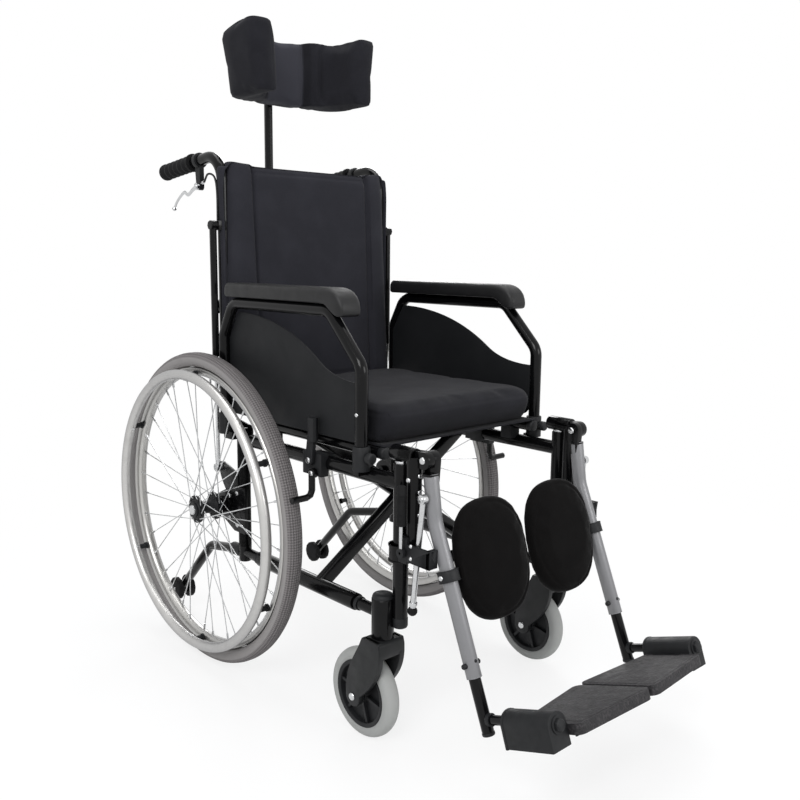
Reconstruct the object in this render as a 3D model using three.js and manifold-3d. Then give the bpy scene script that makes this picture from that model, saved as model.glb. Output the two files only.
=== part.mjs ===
// Folding reclining wheelchair with elevating legrests, in millimetres.
// +Z is up, the chair faces -Y, and +X is the occupant's left. While the chair is laid out, y = 0 is the
// rear axle and z = 0 the floor; at the end the whole chair is moved so that its footprint is centred.

import * as THREE from 'three';
import { mergeVertices } from 'three/addons/utils/BufferGeometryUtils.js';
import Module from 'manifold-3d';

const wasm = await Module();
wasm.setup();

// Fits
const gap = 0.3;
const turningGap = 0.4;
const overrun = 2;

// Facets and bend steps of round work
const tubeSides = 9;
const pinSides = 8;
const boreSides = 6;
const fineSides = 12;
const spokeSides = 3;
const cableSides = 4;
const bendSteps = 4;
const fewBendSteps = 2;

// Side frames
const frameHalf = 200;
const frameTube = 12.5;
const lowerTube = 10;
const lowerZ = 215;
const upperZ = 444;
const rearPostY = -52;
const rearPostDrop = 17;
const rearPostRise = 22;
const frontPostY = -503;
const frontPostRise = 32;
const postCap = 4;
const rearPostFootZ = lowerZ - rearPostDrop;
const rearPostTopZ = upperZ + rearPostRise;
const frontPostTopZ = upperZ + frontPostRise;

// Rear wheels
const wheelRadius = 305;
const wheelOffset = 56.5;
const tyreWidth = 32;
const tyreDepth = 28;
const rimWidth = 24;
const rimDepth = 16;
const wheelFacets = 32;
const spokeCount = 36;
const spokeRadius = 1.3;
const spokeLacingAngle = 62;
const spokeOffset = 1.6;
const hubRadius = 27;
const hubCoreRadius = 14;
const hubFlangeHalf = 20;
const hubFlangeThickness = 3;
const hubHalf = 28;
const hubFacets = 10;
const hubCapDepth = 4;
const handrimOffset = 38;
const handrimDrop = 40;
const handrimTube = 9.5;
const handrimSides = 6;
const handrimStandoffs = 6;
const standoffRadius = 5;
const axleRadius = 8;
const axleSleeveRadius = 13;
const axlePlateThickness = 8;
const axlePlateRadius = 25;
const axlePlateWidth = 26;
const axlePlateHeight = 92;
const wheelHalf = frameHalf + wheelOffset;
const handrimRadius = wheelRadius - handrimDrop;

// Depth into the section and place across it, as shares, round the tyre and round the rim
const tyreSectionShares = [[0, -0.55], [0.4, -1], [1, -0.42], [1, 0.42], [0.4, 1], [0, 0.55]];
const rimSectionShares = [[0, -0.84], [0.5, -1], [1, -0.4], [1, 0.4], [0.5, 1], [0, 0.84]];

// Casters
const casterOffset = 17.5;
const casterSetback = 22;
const casterTrail = 42.4;
const casterRadius = 76;
const casterWidth = 29;
const casterFacets = 16;
const casterHubRadius = 46;
const casterWeb = 12;
const casterBossRadius = 17;
const casterAxleRadius = 5;
const casterWallShare = 0.9;
const casterCrownShare = 0.35;
const forkThickness = 11;
const forkGap = 3;
const forkCrownDepth = 29;
const forkStemRadius = 8;
const casterHeadroom = 35;
const casterHousingRadius = 18.5;
const casterHousingHeight = 74;
const frontPostLift = 18;
const casterHalf = frameHalf + casterOffset;
const casterStemY = frontPostY + casterSetback;
const casterHousingZ = 2 * casterRadius + casterHeadroom;
const forkCrownZ = casterHousingZ - forkCrownDepth;
const frontPostFootZ = casterHousingZ + frontPostLift;

// Cross brace and seat rails
const railInset = 12;
const railRise = 36.5;
const railRadius = 10.5;
const railFrontSetback = 48;
const railRearSetback = 20;
const sleeveRadius = 14.5;
const sleeveFrontSetback = 60;
const sleeveRearSetback = 38;
const braceSetback = 203;
const braceWidth = 28;
const braceThickness = 18;
const braceBoltRadius = 6;
const braceBoltHead = 10;
const saddleLength = 26;
const saddleHalfWidth = 12.5;
const saddleRise = 19;
const railHalf = frameHalf - railInset;
const railZ = upperZ + railRise;
const railFrontY = frontPostY + railFrontSetback;
const railRearY = rearPostY - railRearSetback;
const sleeveFrontY = railFrontY + sleeveFrontSetback;
const sleeveRearY = railRearY - sleeveRearSetback;
const braceY = frontPostY + braceSetback;

// Back canes, handles and recline
const caneInset = 2;
const caneY = 8;
const caneRadius = 11;
const canePivotRise = 26;
const caneEyeRadius = 13;
const caneEyeThickness = 12;
const caneFootRise = 18;
const canePinRadius = 5;
const cheekThickness = 6;
const caneTopZ = 986;
const handleReach = 215;
const handleDrop = 24;
const caneBend = 48;
const gripLength = 116;
const gripRadius = 15.5;
const gripRib = 1.5;
const gripRibs = 4;
const gripFacets = 10;
const gripGrooveShare = 0.3;
const gripRidgeShare = 0.7;
const leverBracketReach = 84;
const leverBracketThickness = 10;
const leverPivotDrop = 59;
const leverPivotSetback = 2;
const leverThickness = 5;
const leverReach = 96;
const leverDrop = 42;
const leverEyeRadius = 7;
const leverBowShare = 0.8;
const leverRiseShare = 0.85;
const cableRadius = 2;
const cableSteps = 12;
const springOffset = 24;
const springFootSetback = 3;
const springFootRise = 75;
const springTopSetback = 2;
const springTopDrop = 136;
const springRadius = 7;
const springRodRadius = 4;
const springEyeRadius = 9;
const springFootEyeRadius = 8;
const springBodyLength = 250;
const springPinRadius = 3.5;
const caneHalf = frameHalf - caneInset;
const canePivotZ = upperZ + canePivotRise;
const handleEndY = caneY + handleReach;
const handleEndZ = caneTopZ - handleDrop;
const leverBracketY = caneY + leverBracketReach;
const leverPivotY = leverBracketY - leverPivotSetback;
const leverPivotZ = caneTopZ - leverPivotDrop;
const springHalf = caneHalf + springOffset;
const springFootY = caneY - springFootSetback;
const springFootZ = wheelRadius + springFootRise;
const springTopY = caneY - springTopSetback;
const springTopZ = caneTopZ - springTopDrop;
const springBodyZ = springTopZ - springBodyLength;

// Seat and back upholstery
const slingThickness = 2.2;
const slingOverhang = 8;
const cushionMargin = 3;
const cushionLead = 11;
const cushionTail = 30;
const cushionThickness = 58;
const cushionCrown = 9;
const cushionCells = [8, 8, 3];
const backCells = [14, 7, 2];
const cushionDrawIn = 5;
const backFootRise = 86;
const backTopDrop = 12;
const backThickness = 34;
const bolsterRise = 8;
const bolsterShare = 0.72;
const bolsterEdgeShare = 0.08;
const slingHalf = railHalf + slingOverhang;
const cushionHalf = frameHalf - cushionMargin;
const cushionFrontY = railFrontY - cushionLead;
const cushionRearY = railRearY + cushionTail;
const backHalf = caneHalf;
const backFootZ = canePivotZ + backFootRise;
const backTopZ = caneTopZ - backTopDrop;

// Armrests
const armOffset = 19;
const armTube = 11;
const armFrontSetback = 75;
const armRearSetback = 30;
const armFootRise = 15;
const armRise = 268;
const armKneeDrop = 90;
const armSlope = 82;
const armBend = 34;
const socketRadius = 14.5;
const socketDepth = 34;
const socketFloor = 6;
const padInset = 10;
const padWidth = 48;
const padHeight = 26;
const padNose = 46;
const padTail = 19;
const padDroop = 20;
const padRound = 9;
const guardInset = 7;
const guardThickness = 3;
const guardFootRise = 1;
const guardRearDrop = 22;
const guardFrontDrop = 120;
const guardCurveShares = [0.55, 0.72, 0.82];
const armHalf = frameHalf + armOffset;
const armFrontY = frontPostY + armFrontSetback;
const armRearY = rearPostY + armRearSetback;
const armFootZ = upperZ + armFootRise;
const armRailZ = upperZ + armRise;
const armKneeZ = armRailZ - armKneeDrop;
const armPadFrontY = armFrontY + armSlope;
const socketTopZ = armFootZ + socketDepth;
const padHalf = armHalf - padInset;
const padFrontY = armPadFrontY - padNose;
const padRearY = armRearY - padTail;
const guardHalf = armHalf - guardInset;
const guardFootZ = socketTopZ + guardFootRise;
const guardRearZ = armRailZ - guardRearDrop;
const guardFrontZ = armRailZ - guardFrontDrop;

// Parking brakes
const brakeOffset = 26;
const brakePlate = 7.5;
const brakeBracketLength = 52;
const brakeBracketHeight = 44;
const brakeEyeRadius = 9;
const brakePinRadius = 4;
const brakeLeverPivotRise = 5;
const brakeLeverLean = 9;
const brakeLeverRise = 66;
const brakeGripRadius = 9;
const brakeGripLength = 32;
const brakeRod = 6;
const brakeRodDrop = 41;
const brakeShoePivotDrop = 17;
const brakeShoeReach = 14.5;
const brakeShoeClearance = 3;
const brakePivotSpan = 8;
const brakeHalf = frameHalf + brakeOffset;
const brakeShoeHalf = wheelHalf + brakeShoeReach;
const brakeShoeY = -wheelRadius - brakeShoeClearance;
const brakeY = brakeShoeY + brakePivotSpan;
const brakeLeverZ = upperZ + brakeLeverPivotRise;
const brakeShoeZ = upperZ - brakeShoePivotDrop;

// Anti-tippers
const antiTipInset = 11;
const antiTipTube = 9.5;
const antiTipBendY = 95;
const antiTipBendDrop = 25;
const antiTipEndY = 224;
const antiTipEndZ = 60;
const antiTipBendRadius = 40;
const antiTipWheelRadius = 25;
const antiTipWheelWidth = 10;
const antiTipEyeHalf = 9.5;
const antiTipAxle = 5;
const antiTipHalf = frameHalf - antiTipInset;
const antiTipBendZ = lowerZ - antiTipBendDrop;

// Swing-away legrest hangers
const hangerInset = 2;
const hangerTube = 12.5;
const hangerArmRise = 15;
const hangerArmRadius = 13;
const hangerArmRear = 21;
const hangerReach = 26.5;
const hangerFootLap = 12;
const swingPinRadius = 7.5;
const swingPinDepth = 38;
const swingPinHead = 11;
const swingPinHeadDepth = 4;
const kneeReach = 21.5;
const kneeDrop = 3;
const kneeRadius = 14;
const kneeThickness = 13;
const kneeInset = 10;
const kneePinRadius = 5;
const blockDrop = 166;
const blockHeight = 42;
const blockWall = 4.5;
const blockRearReach = 11;
const blockMidReach = 30;
const blockFrontReach = 33;
const blockLip = 8.5;
const blockReach = 18;
const collarRadius = 19;
const collarHeight = 24;
const hangerHalf = frameHalf - hangerInset;
const hangerArmZ = frontPostTopZ + hangerArmRise;
const hangerDropY = frontPostY - hangerReach;
const kneeY = hangerDropY - kneeReach;
const kneeZ = hangerArmZ - kneeDrop;
const kneeFaceHalf = hangerHalf - kneeInset;
const blockFootZ = kneeZ - blockDrop;
const blockTopZ = blockFootZ + blockHeight;
const hangerDropZ = blockTopZ - hangerFootLap;
const blockRearY = frontPostY - blockRearReach;
const blockMidY = frontPostY - blockMidReach;
const blockFrontY = kneeY - blockFrontReach;
const blockSlotFrontY = blockFrontY + blockLip;
const blockOuter = hangerHalf + blockReach;

// Elevating leg tubes and their struts
const legInset = 12;
const legTube = 12;
const legTopDrop = 22;
const legTopReach = 3;
const legBendReach = 13.5;
const legBendDrop = 95.3;
const legEndReach = 103;
const legEndDrop = 318;
const legBendRadius = 70;
const strutOffset = 20;
const strutRadius = 4.8;
const strutEyeReach = 7;
const strutEyeDrop = 58;
const strutEyeRadius = 8.5;
const strutFootSetback = 13;
const strutFootDrop = 243;
const strutBall = 8;
const releaseOffset = 5;
const releaseReach = 23;
const releaseRise = 18;
const releaseRod = 3.2;
const releaseRodLength = 44;
const releaseGripRadius = 7.5;
const releaseGripLength = 64;
const releaseBoss = 8;
const releasePin = 3;
const legHalf = hangerHalf - legInset;
const legTopY = kneeY - legTopReach;
const legTopZ = kneeZ - legTopDrop;
const legBendY = kneeY - legBendReach;
const legBendZ = kneeZ - legBendDrop;
const legEndY = kneeY - legEndReach;
const legEndZ = kneeZ - legEndDrop;
const strutHalf = legHalf + strutOffset;
const strutEyeY = kneeY - strutEyeReach;
const strutEyeZ = kneeZ - strutEyeDrop;
const strutFootY = kneeY + strutFootSetback;
const strutFootZ = kneeZ - strutFootDrop;
const releaseHalf = blockOuter + releaseOffset;
const releaseY = frontPostY - releaseReach;
const releaseZ = blockFootZ + releaseRise;
const releaseGripZ = releaseZ + releaseRodLength;

// Calf pads
const calfClampDrop = 174;
const calfClampRadius = 17;
const calfClampHeight = 18;
const calfPadInset = 98;
const calfPadReach = 46;
const calfPadDrop = 166;
const calfPadWidth = 152;
const calfPadHeight = 194;
const calfPadThickness = 32;
const calfPadAngle = 15;
const calfPlateRadius = 24;
const calfPlateThickness = 5;
const calfHingeRadius = 8;
const calfPinRadius = 4;
const calfHingeHeight = 44;
const calfHingeReach = 20;
const calfBossHalf = 9;
const calfClampZ = kneeZ - calfClampDrop;
const calfPadHalf = legHalf - calfPadInset;
const calfPadY = kneeY - calfPadReach;
const calfPadZ = kneeZ - calfPadDrop;

// Leg extensions and footplates
const extensionTube = 9.5;
const extensionTopShare = 0.52;
const extensionBoreShare = 0.8;
const extensionReach = 58;
const extensionStub = 22;
const footAngle = 19.5;
const footPinRadius = 7.5;
const footPinLength = 142;
const footPinHead = 10;
const footBlockStart = 50;
const footBlockEnd = 140;
const footBlockHalf = 20;
const footBlockTop = 18;
const footBlockDrop = 34;
const plateThickness = 16;
const plateDrop = 5;
const plateInnerGap = 3;
const plateInnerStart = 33;
const plateInnerEnd = 174;
const plateOuterStart = 56;
const plateOuterEnd = 162;
const plateCorner = 14;
const elbowZ = legEndZ - extensionReach;

// Headrest
const spreaderRise = 134;
const spreaderSetback = 26;
const spreaderBar = 6;
const spreaderWidth = 20;
const spreaderPin = 4;
const spreaderHead = 8;
const headClampWidth = 30;
const headClampHeight = 60;
const headPostSetback = 133;
const headPostRadius = 9;
const headPostFootRise = 50;
const headSocketWall = 6;
const headHalf = 136;
const headRise = 116;
const headHeight = 136;
const headHingeRise = 30;
const headDepth = 169;
const headWingDepth = 123;
const headWing = 40;
const headCentre = 34;
const headHingeSetback = 15;
const headHingeRadius = 10;
const headHingeHalf = 14;
const spreaderZ = backFootZ + spreaderRise;
const spreaderY = caneY + spreaderSetback;
const headPostY = caneY + headPostSetback;
const headPostFootZ = spreaderZ + headPostFootRise;
const headFootZ = caneTopZ + headRise;
const headTopZ = headFootZ + headHeight;
const headPostTopZ = headFootZ + headHingeRise;
const headRearY = headPostY - headHingeSetback;
const headTipY = headRearY - headDepth;
const headCornerY = headTipY + headWingDepth;

// Finishes: colour, roughness, metalness
const finishes = {
  frame: [0x17171a, 0.34, 0.35],
  plastic: [0x1c1c1f, 0.55, 0],
  rubber: [0x151517, 0.8, 0],
  legPaint: [0x8e8c8b, 0.4, 0.5],
  alloy: [0xc9c6bf, 0.3, 0.8],
  steel: [0xd2d3d4, 0.22, 1],
  tyre: [0x6f6c6d, 0.85, 0],
  caster: [0x5c5e5c, 0.7, 0],
  fabric: [0x35353a, 0.92, 0],
  padCover: [0x151414, 0.8, 0],
};

const radians = (degrees) => THREE.MathUtils.degToRad(degrees);
const at = (x, y, z) => new THREE.Vector3(x, y, z);

// Closed geometry to manifold solid and back, turned inside in if its faces point the wrong way.
function solidOf(geometry) {
  const bare = geometry.clone();
  bare.deleteAttribute('normal');
  bare.deleteAttribute('uv');
  const merged = mergeVertices(bare);
  const places = merged.attributes.position;
  const corners = merged.index.array;
  let volume = 0;
  const [a, b, c] = [at(0, 0, 0), at(0, 0, 0), at(0, 0, 0)];
  for (let i = 0; i < corners.length; i += 3) {
    a.fromBufferAttribute(places, corners[i]);
    b.fromBufferAttribute(places, corners[i + 1]);
    c.fromBufferAttribute(places, corners[i + 2]);
    volume += a.dot(b.cross(c));
  }
  const kept = [];
  for (let i = 0; i < corners.length; i += 3) {
    const [p, q, r] = [corners[i], corners[i + 1], corners[i + 2]];
    if (p !== q && q !== r && r !== p) {
      kept.push(p, volume > 0 ? q : r, volume > 0 ? r : q);
    }
  }
  return new wasm.Manifold(new wasm.Mesh({
    numProp: 3,
    vertProperties: Float32Array.from(places.array),
    triVerts: Uint32Array.from(kept),
  }));
}

function geometryOf(solid) {
  const mesh = solid.getMesh();
  const geometry = new THREE.BufferGeometry();
  geometry.setAttribute('position', new THREE.BufferAttribute(Float32Array.from(mesh.vertProperties), 3));
  geometry.setIndex(Array.from(mesh.triVerts));
  geometry.computeVertexNormals();
  return geometry;
}

function join(...geometries) {
  const [first, ...rest] = geometries.flat().map(solidOf);
  return geometryOf(rest.reduce((sum, next) => sum.add(next), first));
}

function cut(body, ...tools) {
  const cutters = tools.flat().map(solidOf);
  return geometryOf(cutters.reduce((left, next) => left.subtract(next), solidOf(body)));
}

// A centreline of straight runs and round bends, sampled only where its direction changes.
class BentLine extends THREE.Curve {
  constructor(points, bendRadius, steps) {
    super();
    this.places = [points[0].clone()];
    this.directions = [points[1].clone().sub(points[0]).normalize()];
    for (let i = 1; i < points.length - 1; i += 1) {
      this.addBend(points[i - 1], points[i], points[i + 1], bendRadius, steps);
    }
    const last = points.length - 1;
    this.places.push(points[last].clone());
    this.directions.push(points[last].clone().sub(points[last - 1]).normalize());
    this.steps = this.places.length - 1;
  }

  addBend(before, corner, after, radius, steps) {
    const into = corner.clone().sub(before).normalize();
    const out = after.clone().sub(corner).normalize();
    const turn = into.angleTo(out);
    const setback = radius * Math.tan(turn / 2);
    const start = corner.clone().addScaledVector(into, -setback);
    const inward = out.clone().addScaledVector(into, -into.dot(out)).normalize();
    const centre = start.clone().addScaledVector(inward, radius);
    for (let i = 0; i <= steps; i += 1) {
      const angle = (turn * i) / steps;
      const place = centre.clone().addScaledVector(inward, -radius * Math.cos(angle));
      this.places.push(place.addScaledVector(into, radius * Math.sin(angle)));
      const direction = into.clone().multiplyScalar(Math.cos(angle));
      this.directions.push(direction.addScaledVector(inward, Math.sin(angle)));
    }
  }

  getPointAt(share) {
    return this.places[Math.round(share * this.steps)].clone();
  }

  getTangentAt(share) {
    return this.directions[Math.round(share * this.steps)].clone();
  }
}

function polygon(radius, sides) {
  const corners = [];
  for (let i = 0; i < sides; i += 1) {
    const angle = (2 * Math.PI * i) / sides;
    corners.push(new THREE.Vector2(radius * Math.cos(angle), radius * Math.sin(angle)));
  }
  return new THREE.Shape(corners);
}

// A round bar through the points, with round bends.
function tube(points, radius, { bend = radius, steps = bendSteps, sides = tubeSides } = {}) {
  const line = new BentLine(points, bend, steps);
  return new THREE.ExtrudeGeometry(polygon(radius, sides), { steps: line.steps, extrudePath: line });
}

function box(x0, x1, y0, y1, z0, z1) {
  const size = new THREE.BoxGeometry(Math.abs(x1 - x0), Math.abs(y1 - y0), Math.abs(z1 - z0));
  return size.translate((x0 + x1) / 2, (y0 + y1) / 2, (z0 + z1) / 2);
}

// Outlines drawn in (y, z) and pulled along x, or drawn in (x, z) and pulled along y.
function plateAcross(shape, x0, x1, curveSegments = bendSteps) {
  const depth = Math.abs(x1 - x0);
  const geometry = new THREE.ExtrudeGeometry(shape, { depth, bevelEnabled: false, curveSegments });
  const turn = new THREE.Matrix4().makeBasis(at(0, 1, 0), at(0, 0, 1), at(1, 0, 0));
  return geometry.applyMatrix4(turn).translate(Math.min(x0, x1), 0, 0);
}

function plateAlong(shape, y0, y1, curveSegments = bendSteps) {
  const depth = Math.abs(y1 - y0);
  const geometry = new THREE.ExtrudeGeometry(shape, { depth, bevelEnabled: false, curveSegments });
  return geometry.rotateX(Math.PI / 2).translate(0, Math.max(y0, y1), 0);
}

// The outline round two circles, as of a link or a lever.
function linkShape(a, aRadius, b, bRadius) {
  const heading = Math.atan2(b[1] - a[1], b[0] - a[0]);
  const spread = Math.acos((aRadius - bRadius) / Math.hypot(b[0] - a[0], b[1] - a[1]));
  const shape = new THREE.Shape();
  shape.absarc(a[0], a[1], aRadius, heading + spread, heading - spread + 2 * Math.PI, false);
  shape.absarc(b[0], b[1], bRadius, heading - spread, heading + spread, false);
  return shape;
}

// Profiles of [radius, height] turned round z, or of [radius, x] turned round x.
function turnedUp(profile, sides = fineSides) {
  const points = profile.map(([radius, height]) => new THREE.Vector2(radius, height));
  return new THREE.LatheGeometry(points, sides).rotateX(Math.PI / 2);
}

function turnedAcross(profile, sides = fineSides) {
  const points = profile.map(([radius, across]) => new THREE.Vector2(radius, across));
  return new THREE.LatheGeometry(points, sides).rotateZ(-Math.PI / 2).rotateX(Math.PI / 2);
}

function rod(from, to, radius, sides = tubeSides) {
  return tube([from, to], radius, { sides });
}

function pinAcross(x0, x1, y, z, radius, sides = pinSides) {
  return rod(at(x0, y, z), at(x1, y, z), radius, sides);
}

// Holes for the above, wide enough that their flats clear the given radius.
function hole(from, to, radius, sides = boreSides) {
  return rod(from, to, radius / Math.cos(Math.PI / sides), sides);
}

function holeAcross(x0, x1, y, z, radius, sides = boreSides) {
  return hole(at(x0, y, z), at(x1, y, z), radius, sides);
}

// A padded block: rounded edges, a crown on top, sides drawn in between the corners, and any channels.
function softBlock({ width, depth, height, round, crown, drawIn, cells, shapeTop = () => 0 }) {
  const [nx, ny, nz] = cells;
  const geometry = new THREE.BoxGeometry(width, depth, height, nx, ny, nz);
  const places = geometry.attributes.position;
  const point = at(0, 0, 0);
  const half = at(width / 2, depth / 2, height / 2);
  const core = half.clone().subScalar(round);
  for (let i = 0; i < places.count; i += 1) {
    point.fromBufferAttribute(places, i);
    const u = point.x / half.x;
    const v = point.y / half.y;
    const inner = point.clone().clamp(core.clone().negate(), core);
    const offset = point.clone().sub(inner);
    const corner = inner.add(offset.setLength(Math.min(offset.length(), round)));
    corner.x -= Math.sign(u) * Math.abs(u) ** 4 * drawIn * (1 - v * v);
    corner.y -= Math.sign(v) * Math.abs(v) ** 4 * drawIn * (1 - u * u);
    if (point.z > 0) {
      corner.z += crown * (1 - u ** 4) * (1 - v ** 4) + shapeTop(u, v) * (1 - v ** 8);
    }
    places.setXYZ(i, corner.x, corner.y, corner.z);
  }
  return geometry;
}

const chair = new THREE.Group();

function add(name, geometry, finish, group = chair) {
  const closed = geometryOf(solidOf(geometry));
  const [color, roughness, metalness] = finishes[finish];
  const mesh = new THREE.Mesh(closed, new THREE.MeshStandardMaterial({ color, roughness, metalness }));
  mesh.name = name;
  group.add(mesh);
  return mesh;
}

function groupAt(x, y, z) {
  const group = new THREE.Group();
  group.position.set(x, y, z);
  chair.add(group);
  return group;
}

// One side frame: posts, tubes, axle plate and everything welded to them.
function frontPost(side) {
  const x = side * frameHalf;
  const height = frontPostTopZ - frontPostFootZ;
  const profile = [[0, 0], [frameTube - postCap, 0], [frameTube, postCap], [frameTube, height], [0, height]];
  return turnedUp(profile).translate(x, frontPostY, frontPostFootZ);
}

function casterHousing(side) {
  const top = casterHousingHeight;
  const profile = [
    [0, 0],
    [casterHousingRadius, 0],
    [casterHousingRadius, top - 2 * postCap],
    [casterHousingRadius - postCap, top - postCap / 2],
    [0, top],
  ];
  return turnedUp(profile).translate(side * casterHalf, casterStemY, casterHousingZ);
}

function axlePlate(side) {
  const half = axlePlateHeight / 2;
  const shape = new THREE.Shape();
  shape.moveTo(rearPostY - axlePlateWidth, wheelRadius - half);
  shape.lineTo(rearPostY + axlePlateWidth / 2, wheelRadius - half);
  shape.absarc(0, wheelRadius, axlePlateRadius, -Math.PI / 3, Math.PI / 3, false);
  shape.lineTo(rearPostY + axlePlateWidth / 2, wheelRadius + half);
  shape.lineTo(rearPostY - axlePlateWidth, wheelRadius + half);
  const outer = frameHalf + frameTube + axlePlateThickness / 2;
  return plateAcross(shape, side * (outer - axlePlateThickness), side * outer);
}

// The curved plate that reaches up from the axle plate to the foot of the recline spring.
function springPlate(side) {
  const shape = new THREE.Shape();
  const rear = springFootY + springEyeRadius;
  shape.moveTo(rearPostY, wheelRadius);
  shape.quadraticCurveTo(0, wheelRadius + axlePlateRadius, rear, springFootZ - springEyeRadius);
  shape.lineTo(rear, springFootZ + springEyeRadius);
  shape.lineTo(springFootY - springEyeRadius, springFootZ + springEyeRadius);
  shape.lineTo(rearPostY, springFootZ - springEyeRadius);
  const inner = springHalf - springRadius - axlePlateThickness;
  return plateAcross(shape, side * inner, side * (inner + axlePlateThickness - gap));
}

function hingeCheeks(side) {
  const post = [rearPostY, canePivotZ - caneEyeRadius];
  const shape = linkShape(post, kneeRadius, [caneY, canePivotZ], caneEyeRadius);
  const inner = caneEyeThickness / 2 + gap;
  const outer = inner + cheekThickness;
  return [
    plateAcross(shape, side * (caneHalf - outer), side * (caneHalf - inner)),
    plateAcross(shape, side * (caneHalf + inner), side * (caneHalf + outer)),
    pinAcross(side * (caneHalf - outer), side * (caneHalf + outer), caneY, canePivotZ, canePinRadius),
  ];
}

function armSocket(side, y, inwardY) {
  const height = socketDepth + socketFloor;
  const profile = [[0, 0], [socketRadius, 0], [socketRadius, height], [0, height]];
  const barrel = turnedUp(profile).translate(side * armHalf, y, armFootZ - socketFloor);
  const inner = side * (frameHalf + frameTube / 2);
  const outer = side * (armHalf + frameTube / 2);
  const shelf = box(inner, outer, y, inwardY, upperZ, armFootZ - gap);
  return [barrel, shelf];
}

function railSaddle(side, y) {
  const inner = side * (railHalf - saddleHalfWidth);
  const outer = side * (railHalf + saddleHalfWidth);
  const half = saddleLength / 2;
  return box(inner, outer, y - half, y + half, upperZ + frameTube / 2, upperZ + frameTube + saddleRise);
}

function brakeBracket(side) {
  const inner = frameHalf + frameTube / 2;
  const outer = brakeHalf - brakePlate / 2 - gap;
  const [length, height] = [brakeBracketLength / 2, brakeBracketHeight / 2];
  const [foot, top] = [upperZ - height, upperZ + height - postCap];
  const block = box(side * inner, side * outer, brakeY - length, brakeY + length, foot, top);
  const reach = brakeHalf + brakePlate / 2;
  return [
    block,
    pinAcross(side * inner, side * reach, brakeY, brakeLeverZ, brakePinRadius),
    pinAcross(side * inner, side * reach, brakeShoeY, brakeShoeZ, brakePinRadius),
  ];
}

function antiTipBar(side) {
  const path = [
    at(side * frameHalf, rearPostY, lowerZ),
    at(side * frameHalf, rearPostY + frameTube * 2, lowerZ),
    at(side * antiTipHalf, antiTipBendY, antiTipBendZ),
    at(side * antiTipHalf, antiTipEndY, antiTipEndZ),
  ];
  const inner = side * (antiTipHalf - antiTipEyeHalf);
  const outer = side * (antiTipHalf + antiTipEyeHalf);
  const eye = pinAcross(inner, outer, antiTipEndY, antiTipEndZ, antiTipTube + postCap);
  return [tube(path, antiTipTube, { bend: antiTipBendRadius, steps: fewBendSteps, sides: pinSides }), eye];
}

function sideFrame(side, word) {
  const x = side * frameHalf;
  const armX = side * armHalf;
  const casterX = side * casterHalf;
  const railX = side * railHalf;
  const knobZ = armFootZ + socketDepth / 2;
  const stemTopZ = casterHousingZ + casterHousingHeight - 2 * postCap;
  const solids = [
    rod(at(x, rearPostY, rearPostFootZ), at(x, rearPostY, rearPostTopZ), frameTube),
    rod(at(x, rearPostY, upperZ), at(x, frontPostY, upperZ), frameTube),
    rod(at(x, rearPostY, lowerZ), at(x, frontPostY, lowerZ), lowerTube),
    frontPost(side),
    casterHousing(side),
    axlePlate(side),
    springPlate(side),
    hingeCheeks(side),
    armSocket(side, armFrontY, armFrontY + socketRadius),
    armSocket(side, armRearY, rearPostY),
    railSaddle(side, sleeveFrontY),
    railSaddle(side, sleeveRearY - saddleLength),
    brakeBracket(side),
    antiTipBar(side),
    pinAcross(x, side * (wheelHalf - hubHalf - gap), 0, wheelRadius, axleSleeveRadius),
    pinAcross(x, side * (wheelHalf + hubHalf - 3 * hubCapDepth), 0, wheelRadius, axleRadius),
    pinAcross(x, side * (springHalf + springRadius), springFootY, springFootZ, springPinRadius),
    rod(at(armX, armFrontY, knobZ), at(armX, armFrontY - 2 * socketRadius, knobZ), brakeGripRadius),
  ].flat();
  const upright = (across, y, from, to, radius) => hole(at(across, y, from), at(across, y, to), radius);
  const eyeReach = antiTipEyeHalf + overrun;
  const pinFootZ = frontPostTopZ - swingPinDepth - overrun;
  const bores = [
    upright(casterX, casterStemY, casterHousingZ - overrun, stemTopZ, forkStemRadius + turningGap),
    upright(x, frontPostY, pinFootZ, frontPostTopZ + overrun, swingPinRadius + turningGap),
    upright(armX, armFrontY, armFootZ, socketTopZ + overrun, armTube + gap),
    upright(armX, armRearY, armFootZ, socketTopZ + overrun, armTube + gap),
    hole(at(railX, railFrontY, railZ), at(railX, railRearY, railZ), railRadius + gap),
    holeAcross(
      side * (antiTipHalf - eyeReach),
      side * (antiTipHalf + eyeReach),
      antiTipEndY,
      antiTipEndZ,
      antiTipAxle + turningGap,
    ),
  ];
  add(`${word}_side_frame`, cut(join(solids), bores), 'frame');
}

// One rear wheel, in a group at its axle.
function ringSection(sectionShares, outer, inner, width, side) {
  const ring = sectionShares.map(([depthShare, widthShare]) => [
    outer + (inner - outer) * depthShare,
    (side * widthShare * width) / 2,
  ]);
  return [...ring, ring[0]];
}

function spokes(side) {
  const solids = [];
  const rimInner = wheelRadius - tyreDepth - rimDepth;
  const rootRadius = (hubRadius + hubCoreRadius) / 2;
  for (let i = 0; i < spokeCount; i += 1) {
    const flange = i % 2 ? 1 : -1;
    const lean = Math.floor(i / 2) % 2 ? 1 : -1;
    const angle = (2 * Math.PI * (i + 1 / 2)) / spokeCount;
    const root = angle + side * lean * radians(spokeLacingAngle);
    const rootAcross = flange * hubFlangeHalf + lean * spokeOffset;
    const from = at(rootAcross, rootRadius * Math.cos(root), rootRadius * Math.sin(root));
    const tipRadius = rimInner + rimDepth / 3;
    const to = at((flange * rimWidth) / 8, tipRadius * Math.cos(angle), tipRadius * Math.sin(angle));
    solids.push(rod(from, to, spokeRadius, spokeSides));
  }
  return solids;
}

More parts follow.
